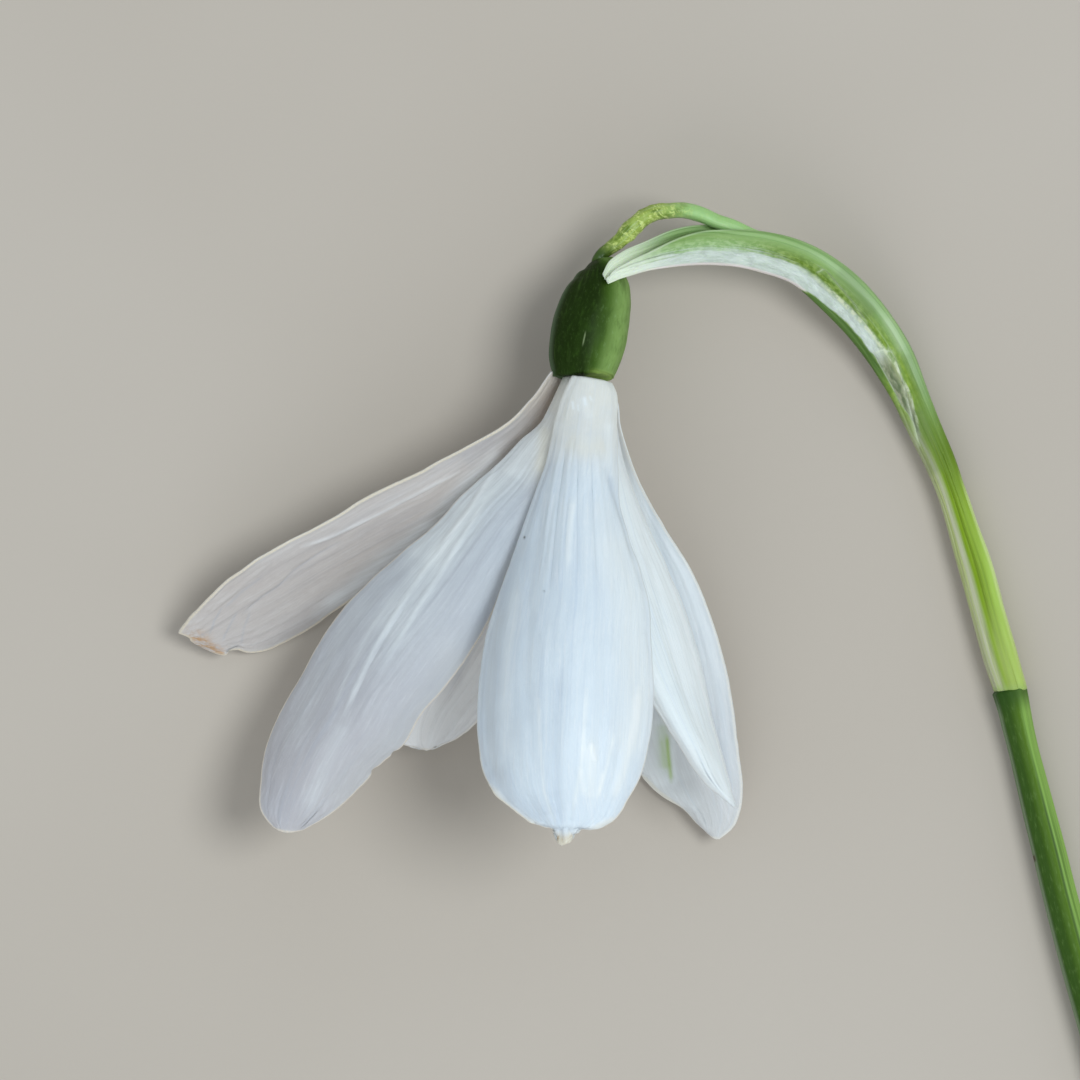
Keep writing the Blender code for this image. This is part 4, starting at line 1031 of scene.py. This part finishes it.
def spathe_piece(cols=168, rows=460):
    table = np.array(SHEATH, float)
    v = np.linspace(-0.006, 1, rows)
    along = length_steps((table[:, :2] + table[:, 2:4]) / 2)
    row = smooth_curve(v, along, table)
    outer, inner = row[:, :2], row[:, 2:4]
    across = inner - outer
    half = np.linalg.norm(across, axis=1) / 2
    across /= 2 * half[:, None]
    opening = step(0.42, 0.67, v)
    front = np.radians(np.interp(v, (0, 0.44, 0.58, 0.74, 0.79, 0.825, 0.88, 0.93, 0.97, 1), (179.5, 179.5, 172, 170, 158, 137, 117, 97, 86, 80)))[:, None]
    rear = np.radians(179.5 - 17.5 * opening)[:, None]
    flat = (0.75 - 0.5 * opening)[:, None]
    u = np.linspace(-1, 1, cols)[None]
    theta = np.where(u > 0, u * front, u * rear)
    reach = (half[:, None] - SHEATH_WALL / 2) * np.cos(theta)
    plan = ((outer + inner) / 2)[:, None] + reach[:, :, None] * across[:, None]
    rise = np.sign(theta) * np.abs(np.sin(theta)) ** flat
    z = row[:, 4:5] + (row[:, 5:6] - SHEATH_WALL / 2) * rise
    P = np.dstack([plan, z])
    centre = (outer + inner) / 2
    size = np.concatenate([[0], np.cumsum(np.linalg.norm(np.diff(centre, axis=0), axis=1))])
    L = np.broadcast_to(size[:, None], theta.shape)
    V = np.broadcast_to(v[:, None], theta.shape)
    U = np.broadcast_to(u, theta.shape)
    deg = np.degrees(theta)
    # the papery skin lies between the two green valves on the hollow side of the arch
    q = (1 - np.cos(theta)) / 2  # 0 on the hollow side of the arch, 1 on the outer side
    q_edge = q + 0.03 * noise(L * 1.4 + 3, U + 5, 88, 2)
    stations = (0.30, 0.395, 0.447, 0.497, 0.532, 0.591, 0.657, 0.713, 0.762, 0.82, 0.88, 0.93, 0.975, 1.0)
    below = np.interp(v, stations, (0.27, 0.25, 0.12, 0.15, 0.17, 0.16, 0.08, -0.1, -0.1, -0.1, -0.1, -0.1, -0.1, -0.1))[:, None]
    above = np.interp(v, stations, (0.27, 0.30, 0.47, 0.47, 0.42, 0.38, 0.38, 0.41, 0.44, 0.40, 0.34, 0.30, 0.30, 0.5))[:, None]
    below = np.where(theta < 0, -0.1, below)
    soft = 0.03 + 0.05 * step(0.47, 0.53, V) + 0.02 * step(0.66, 0.74, V)
    q_edge = q_edge + 0.10 * step(0.66, 0.74, V) * noise(deg * 0.28 + 30, L * 0.35 + 3, 89, 2)
    paper = step(above + soft, above - soft, q_edge) * step(below - 0.02, below + 0.02, q_edge) * step(0.385, 0.40, V)
    window = paper * step(0.545, 0.50, V)
    back = step(below + 0.01, below - 0.03, q) * step(0.45, 0.52, V) * step(0.74, 0.68, V)
    limit = np.degrees(np.arccos(np.clip(1 - 2 * above, -1, 1)))
    normal = grid_normals(P)
    masks = {k: np.zeros(theta.shape) for k in ("pale", "painted_fold_shade")}
    creases = 0.0
    for kind, amount, wide, points in MARKS["spathe"]:
        line = amount * stroke(P[:, :, 0], P[:, :, 1], points, wide) * (theta > 0)
        masks[kind] = np.clip(masks[kind] + line, 0, 1)
        creases = creases + (0.12 if kind == "pale" else -0.12) * line
    lift = 0.05 * noise(deg * 0.05 + 20, L * 0.35 + 3, 81, 2) - creases
    lift = lift + paper * step(0.0, 0.3, q) * (0.10 * noise(deg * 0.035 + 9, L * 0.9 + 7, 82, 3) + 0.05 * noise(deg * 0.12 + 9, L * 3.0 + 7, 83, 2))
    lift = lift + (1 - paper) * 0.03 * noise(deg * 0.11 + 30, L * 0.08 + 7, 84, 2)
    lift = lift + 0.06 * bump(np.abs(deg), limit, 6.0) * step(0.35, 0.5, V)
    rim = np.minimum((1 - np.abs(U)) * np.where(U > 0, front, rear) * half[:, None], (size[-1] - L) + 0.0)
    P = P - lift[:, :, None] * normal * np.sign(1.0)
    P[:, :, 2] = np.maximum(P[:, :, 2], 0.12)
    thick = SHEATH_WALL * 0.85 * (1 - 0.45 * paper) * (0.5 + 0.5 * step(0.0, 0.5, rim))
    thick = np.broadcast_to(thick, theta.shape)
    return shell("spathe_sheath", P, thick, {"u": U, "v": V, "theta": deg / 100, "along": L, "paper": paper, "window": window, "back": back, "q": q, "over": above - q, "rim": rim, **masks})


def spathe_skin(t):
    v, theta, along, paper, rim, q = (t.attr(k) for k in ("v", "theta", "along", "paper", "rim", "q"))
    veins = t.noise(t.vector(t.math("MULTIPLY", theta, 12.0), t.math("MULTIPLY", along, 0.06), 1.0), 1.0, 4.0, 0.65)
    stripe = t.noise(t.vector(t.math("MULTIPLY", theta, 6.0), t.math("MULTIPLY", along, 0.05), 8.0), 1.0, 2.0, 0.5)
    fleck = t.noise(t.vector(t.math("MULTIPLY", theta, 9.0), t.math("MULTIPLY", along, 1.2), 3.0), 1.0, 3.0, 0.6)
    mottle = t.noise(t.vector(t.math("MULTIPLY", theta, 11.0), t.math("MULTIPLY", along, 2.4), 6.0), 1.0, 3.0, 0.6)
    # green valves: blue-green towards the outside of the arch, olive beside the paper
    valve = t.mix(t.ramp(stripe, 0.4, 0.62), (0.25, 0.39, 0.11), (0.17, 0.30, 0.07))
    outer = t.mix(t.ramp(stripe, 0.42, 0.6), (0.31, 0.47, 0.18), (0.20, 0.345, 0.105))
    valve = t.mix(t.ramp(q, 0.66, 0.88), valve, outer)
    # Painted highlight: a bright band along the outer side of the arch, in the middle of the spathe.
    painted_gleam = t.math("MULTIPLY", t.ramp(t.math("ABSOLUTE", t.math("SUBTRACT", q, 0.84)), 0.03, 0.12, 0.55, 0.0), t.math("MULTIPLY", t.ramp(v, 0.40, 0.48), t.ramp(v, 0.74, 0.64)))
    valve = t.mix(t.math("MULTIPLY", painted_gleam, t.ramp(veins, 0.3, 0.6, 0.5, 1.0)), valve, (0.50, 0.66, 0.38))
    beside = t.ramp(t.attr("over"), -0.38, -0.1)
    olive = t.mix(t.ramp(mottle, 0.4, 0.62), (0.115, 0.20, 0.012), (0.24, 0.34, 0.065))
    olive = t.mix(t.ramp(v, 0.70, 0.82, 0.0, 0.85), olive, t.mix(t.ramp(mottle, 0.38, 0.66), (0.27, 0.44, 0.16), (0.44, 0.60, 0.30)))
    olive = t.mix(t.ramp(v, 0.62, 0.45), olive, t.mix(t.ramp(mottle, 0.35, 0.7), (0.17, 0.29, 0.010), (0.29, 0.42, 0.04)))
    valve = t.mix(t.math("MULTIPLY", beside, t.ramp(v, 0.38, 0.46)), valve, olive)
    # closed tube below: pale left, dark line in the middle, yellow-green right
    low = t.mix(t.ramp(q, 0.22, 0.42), t.mix(t.ramp(stripe, 0.4, 0.6), (0.52, 0.52, 0.35), (0.43, 0.47, 0.20)), (0.21, 0.33, 0.008))
    low = t.mix(t.ramp(q, 0.52, 0.66), low, (0.26, 0.39, 0.03))
    low = t.mix(t.math("MULTIPLY", t.ramp(v, 0.26, 0.14, 0.2, 1.0), t.ramp(q, 0.66, 0.82)), low, (0.40, 0.58, 0.10))
    low = t.mix(t.math("MULTIPLY", t.ramp(v, 0.24, 0.36, 0.0, 0.85), t.ramp(q, 0.32, 0.52)), low, (0.10, 0.175, 0.006))
    low = t.mix(t.math("MULTIPLY", t.ramp(v, 0.33, 0.27), t.ramp(q, 0.84, 0.97)), low, (0.62, 0.74, 0.30))
    line = t.ramp(t.math("ABSOLUTE", t.math("SUBTRACT", q, 0.52)), 0.02, 0.07, 0.8, 0.0)
    low = t.mix(line, low, (0.14, 0.22, 0.008))
    line = t.ramp(t.math("ABSOLUTE", t.math("SUBTRACT", q, 0.66)), 0.01, 0.045, 0.45, 0.0)
    low = t.mix(line, low, (0.17, 0.27, 0.02))
    low = t.mix(t.math("MULTIPLY", t.ramp(v, 0.16, 0.02, 0.0, 0.6), t.ramp(q, 0.3, 0.5)), low, (0.44, 0.54, 0.14))
    colour = t.mix(t.ramp(v, 0.34, 0.48), low, valve)
    bloom = t.mix(t.ramp(v, 0.36, 0.5), (0.42, 0.55, 0.09), (0.46, 0.60, 0.30))
    colour = t.mix(t.ramp(veins, 0.52, 0.75, 0.0, 0.4), colour, bloom)
    colour = t.mix(t.ramp(fleck, 0.58, 0.8, 0.0, 0.25), colour, bloom)
    crumple = t.noise(t.vector(t.math("MULTIPLY", theta, 4.0), t.math("MULTIPLY", along, 0.8), 2.0), 1.0, 5.0, 0.65, 0.5)
    silk = t.noise(t.vector(t.math("MULTIPLY", theta, 26.0), t.math("MULTIPLY", along, 1.5), 9.0), 1.0, 4.0, 0.65, 0.3)
    white = t.mix(t.ramp(crumple, 0.35, 0.65), (0.51, 0.57, 0.48), (0.66, 0.73, 0.63))
    white = t.mix(t.ramp(silk, 0.5, 0.72, 0.0, 0.6), white, (0.86, 0.90, 0.82))
    white = t.mix(t.ramp(v, 0.86, 0.96), white, (0.74, 0.80, 0.70))
    white = t.mix(t.ramp(q, 0.07, 0.01), white, (0.90, 0.80, 0.74))
    glass = t.mix(t.ramp(crumple, 0.35, 0.62), (0.16, 0.20, 0.10), (0.38, 0.39, 0.25))
    glass = t.mix(t.ramp(q, 0.3, 0.5), glass, (0.37, 0.42, 0.18))
    white = t.mix(t.attr("window"), white, glass)
    colour = t.mix(paper, colour, white)
    seam = t.math("MULTIPLY", t.ramp(t.math("ABSOLUTE", t.attr("over")), 0.01, 0.05, 0.85, 0.0), t.math("MULTIPLY", t.ramp(v, 0.38, 0.42), t.ramp(v, 0.7, 0.62)))
    colour = t.mix(t.math("MULTIPLY", seam, t.ramp(mottle, 0.35, 0.6)), colour, (0.68, 0.70, 0.48))
    # Painted shade along the spathe's grooves and folds.
    colour = t.mix(t.attr("painted_fold_shade"), colour, (0.11, 0.15, 0.06))
    colour = t.mix(t.attr("pale"), colour, (0.74, 0.80, 0.60))
    colour = t.mix(t.attr("back"), colour, t.mix(t.ramp(veins, 0.45, 0.7), (0.085, 0.16, 0.03), (0.20, 0.30, 0.09)))
    colour = t.mix(t.ramp(v, 0.88, 0.985, 0.0, 0.9), colour, (0.86, 0.94, 0.72))
    colour = t.mix(t.math("MULTIPLY", t.ramp(rim, 0.02, 0.14, 0.55, 0.0), t.ramp(v, 0.8, 0.97, 0.35, 1.0)), colour, (0.66, 0.74, 0.54))
    colour = t.mix(t.ramp(along, 0.5, 0.0, 0.0, 0.6), colour, (0.33, 0.45, 0.13))
    height = t.math("ADD", veins, t.math("MULTIPLY", t.math("MULTIPLY", t.math("ADD", crumple, t.math("MULTIPLY", silk, 0.5)), paper), 1.6))
    return colour, height, 4e-5


finish_piece(spathe_piece(), "spathe", green_skin("skin_spathe", spathe_skin, 0.44, 0.17, 0.15))


# ---------------------------------------------------------------- stamens and style
def on_axis(distance, ring, angle):
    side = np.cross((0.0, 0.0, 1.0), AXIS)
    side /= np.linalg.norm(side)
    front = np.cross(AXIS, side)
    away = math.sin(angle) * side + math.cos(angle) * front
    return RECEPTACLE + distance * AXIS + ring * away


def thread(name, profile, angle, cols, shape, attributes=None):
    """profile: distance down the axis, ring radius, own radius."""
    p = np.array(profile, float)
    at = np.linspace(p[0, 0], p[-1, 0], 110)
    row = np.stack([np.interp(at, p[:, 0], p[:, k]) for k in range(3)], 1)
    centre = np.array([on_axis(d, r, angle) for d, r, _ in row])
    rows = np.column_stack([centre, row[:, 2]])
    rings, A, V, L, _ = stalk_rings(rows, cols, shape)
    return loft(name, rings, {"v": V, "angle": A, "along": L})


def stamen_skin(t):
    along, angle = t.attr("along"), t.attr("angle")
    pollen = t.noise(t.place(), 5200.0, 3.0, 0.65)
    streak = t.noise(t.vector(t.math("MULTIPLY", angle, 3.0), t.math("MULTIPLY", along, 0.4), 1.0), 1.0, 2.0, 0.5)
    colour = t.mix(t.ramp(pollen, 0.35, 0.65), (0.72, 0.36, 0.05), (0.92, 0.60, 0.14))
    colour = t.mix(t.ramp(streak, 0.5, 0.7, 0.0, 0.4), colour, (0.62, 0.30, 0.06))
    colour = t.mix(t.ramp(along, 1.1, 1.45), (0.86, 0.90, 0.78), colour)
    return colour, pollen, 3e-5


def style_skin(t):
    along, angle = t.attr("along"), t.attr("angle")
    streak = t.noise(t.vector(t.math("MULTIPLY", angle, 3.0), t.math("MULTIPLY", along, 0.4), 1.0), 1.0, 3.0, 0.6)
    colour = t.mix(t.ramp(along, 0.3, 6.8), (0.62, 0.72, 0.42), (0.88, 0.90, 0.78))
    colour = t.mix(t.ramp(streak, 0.45, 0.7, 0.0, 0.5), colour, (0.52, 0.64, 0.34))
    colour = t.mix(t.ramp(along, 7.3, 7.6), colour, (0.90, 0.86, 0.56))
    return colour, streak, 2e-5


STAMEN = green_skin("skin_stamen", stamen_skin, 0.6, 0.3, 0.1)
for k in range(6):
    profile = (
        (0.35, 0.62, 0.13), (1.1, 0.72, 0.13), (1.6, 0.76, 0.12), (1.78, 0.79, 0.17), (1.95, 0.80, 0.24),
        (2.6, 0.81, 0.27), (4.2, 0.79, 0.22), (5.8, 0.75, 0.13), (6.6, 0.72, 0.07), (7.0, 0.71, 0.03),
    )

    def shape(A, V, L, k=k):
        lobes = step(1.3, 1.7, L) * (0.10 * np.cos(2 * A) - 0.16 * bump(np.abs(A), 0.0, 0.35) - 0.16 * bump(np.abs(A), np.pi, 0.35))
        return 1 + lobes + 0.05 * noise(A * 2 + 9, L * 3 + 4, 110 + k, 2)

    obj = thread(f"stamen_thread_{k + 1}", profile, math.radians(8 + 60 * k), 26, shape)
    finish_piece(obj, f"stamen_{k + 1}", STAMEN)

profile = ((0.35, 0, 0.22), (3.0, 0, 0.19), (6.0, 0, 0.20), (7.2, 0, 0.22), (7.6, 0, 0.23), (7.85, 0, 0.18), (8.0, 0, 0.09))
obj = thread("style_thread", profile, 0.0, 26, lambda A, V, L: 1 + 0.05 * np.cos(3 * A) + 0.04 * noise(A + 9, L * 2, 131))
finish_piece(obj, "style", green_skin("skin_style", style_skin, 0.5, 0.4, 0.15))


# ---------------------------------------------------------------- floor, light, camera
def floor_skin():
    t = Tree("plain_floor")
    place = t.place()
    soft = t.noise(place, 14.0, 3.0, 0.55)
    grain = t.noise(place, 900.0, 3.0, 0.6)
    colour = t.mix(t.ramp(soft, 0.3, 0.7), FLOOR_A, FLOOR_B)
    t.set(Base_Color=colour, Normal=t.bump(grain, 3e-5, 0.35))
    t.shader.inputs["Roughness"].default_value = 0.85
    t.shader.inputs["Specular IOR Level"].default_value = 0.15
    return t.material


FLOOR_A, FLOOR_B = (0.53, 0.462, 0.395), (0.565, 0.497, 0.43)
mesh = bpy.data.meshes.new("floor")
mesh.from_pydata([(-6, -6, 0), (6, -6, 0), (6, 6, 0), (-6, 6, 0)], [], [(0, 1, 2, 3)])
floor = bpy.data.objects.new("floor", mesh)
bpy.context.scene.collection.objects.link(floor)
floor.data.materials.append(floor_skin())

scene = bpy.context.scene
world = bpy.data.worlds.new("soft_room")
world.use_nodes = True
world.node_tree.nodes["Background"].inputs[0].default_value = (0.83, 0.93, 1.0, 1)
world.node_tree.nodes["Background"].inputs[1].default_value = 0.56
scene.world = world


def area_light(name, spot, target, size, power, colour):
    data = bpy.data.lights.new(name, "AREA")
    data.shape = "DISK"
    data.size = size
    data.energy = power
    data.color = colour
    obj = bpy.data.objects.new(name, data)
    obj.location = spot
    away = np.array(spot, float) - np.array(target, float)
    from mathutils import Vector

    obj.rotation_euler = Vector(away).to_track_quat("Z", "Y").to_euler()
    obj.visible_camera = False
    scene.collection.objects.link(obj)
    return obj


area_light("key", (0.42, 0.08, 0.9), (0, 0, 0), 0.45, 4.8, (0.88, 0.96, 1.0))
area_light("fill", (-0.2, -0.85, 0.5), (0, 0, 0), 0.9, 2.0, (0.92, 0.96, 1.0))

data = bpy.data.cameras.new("camera")
data.sensor_width = 36.0
data.lens = 555.56
data.clip_start = 0.05
camera = bpy.data.objects.new("camera", data)
camera.location = (-0.0102775, 0.015553, 1.00603)
scene.collection.objects.link(camera)
scene.camera = camera
scene.view_settings.view_transform = "Standard"
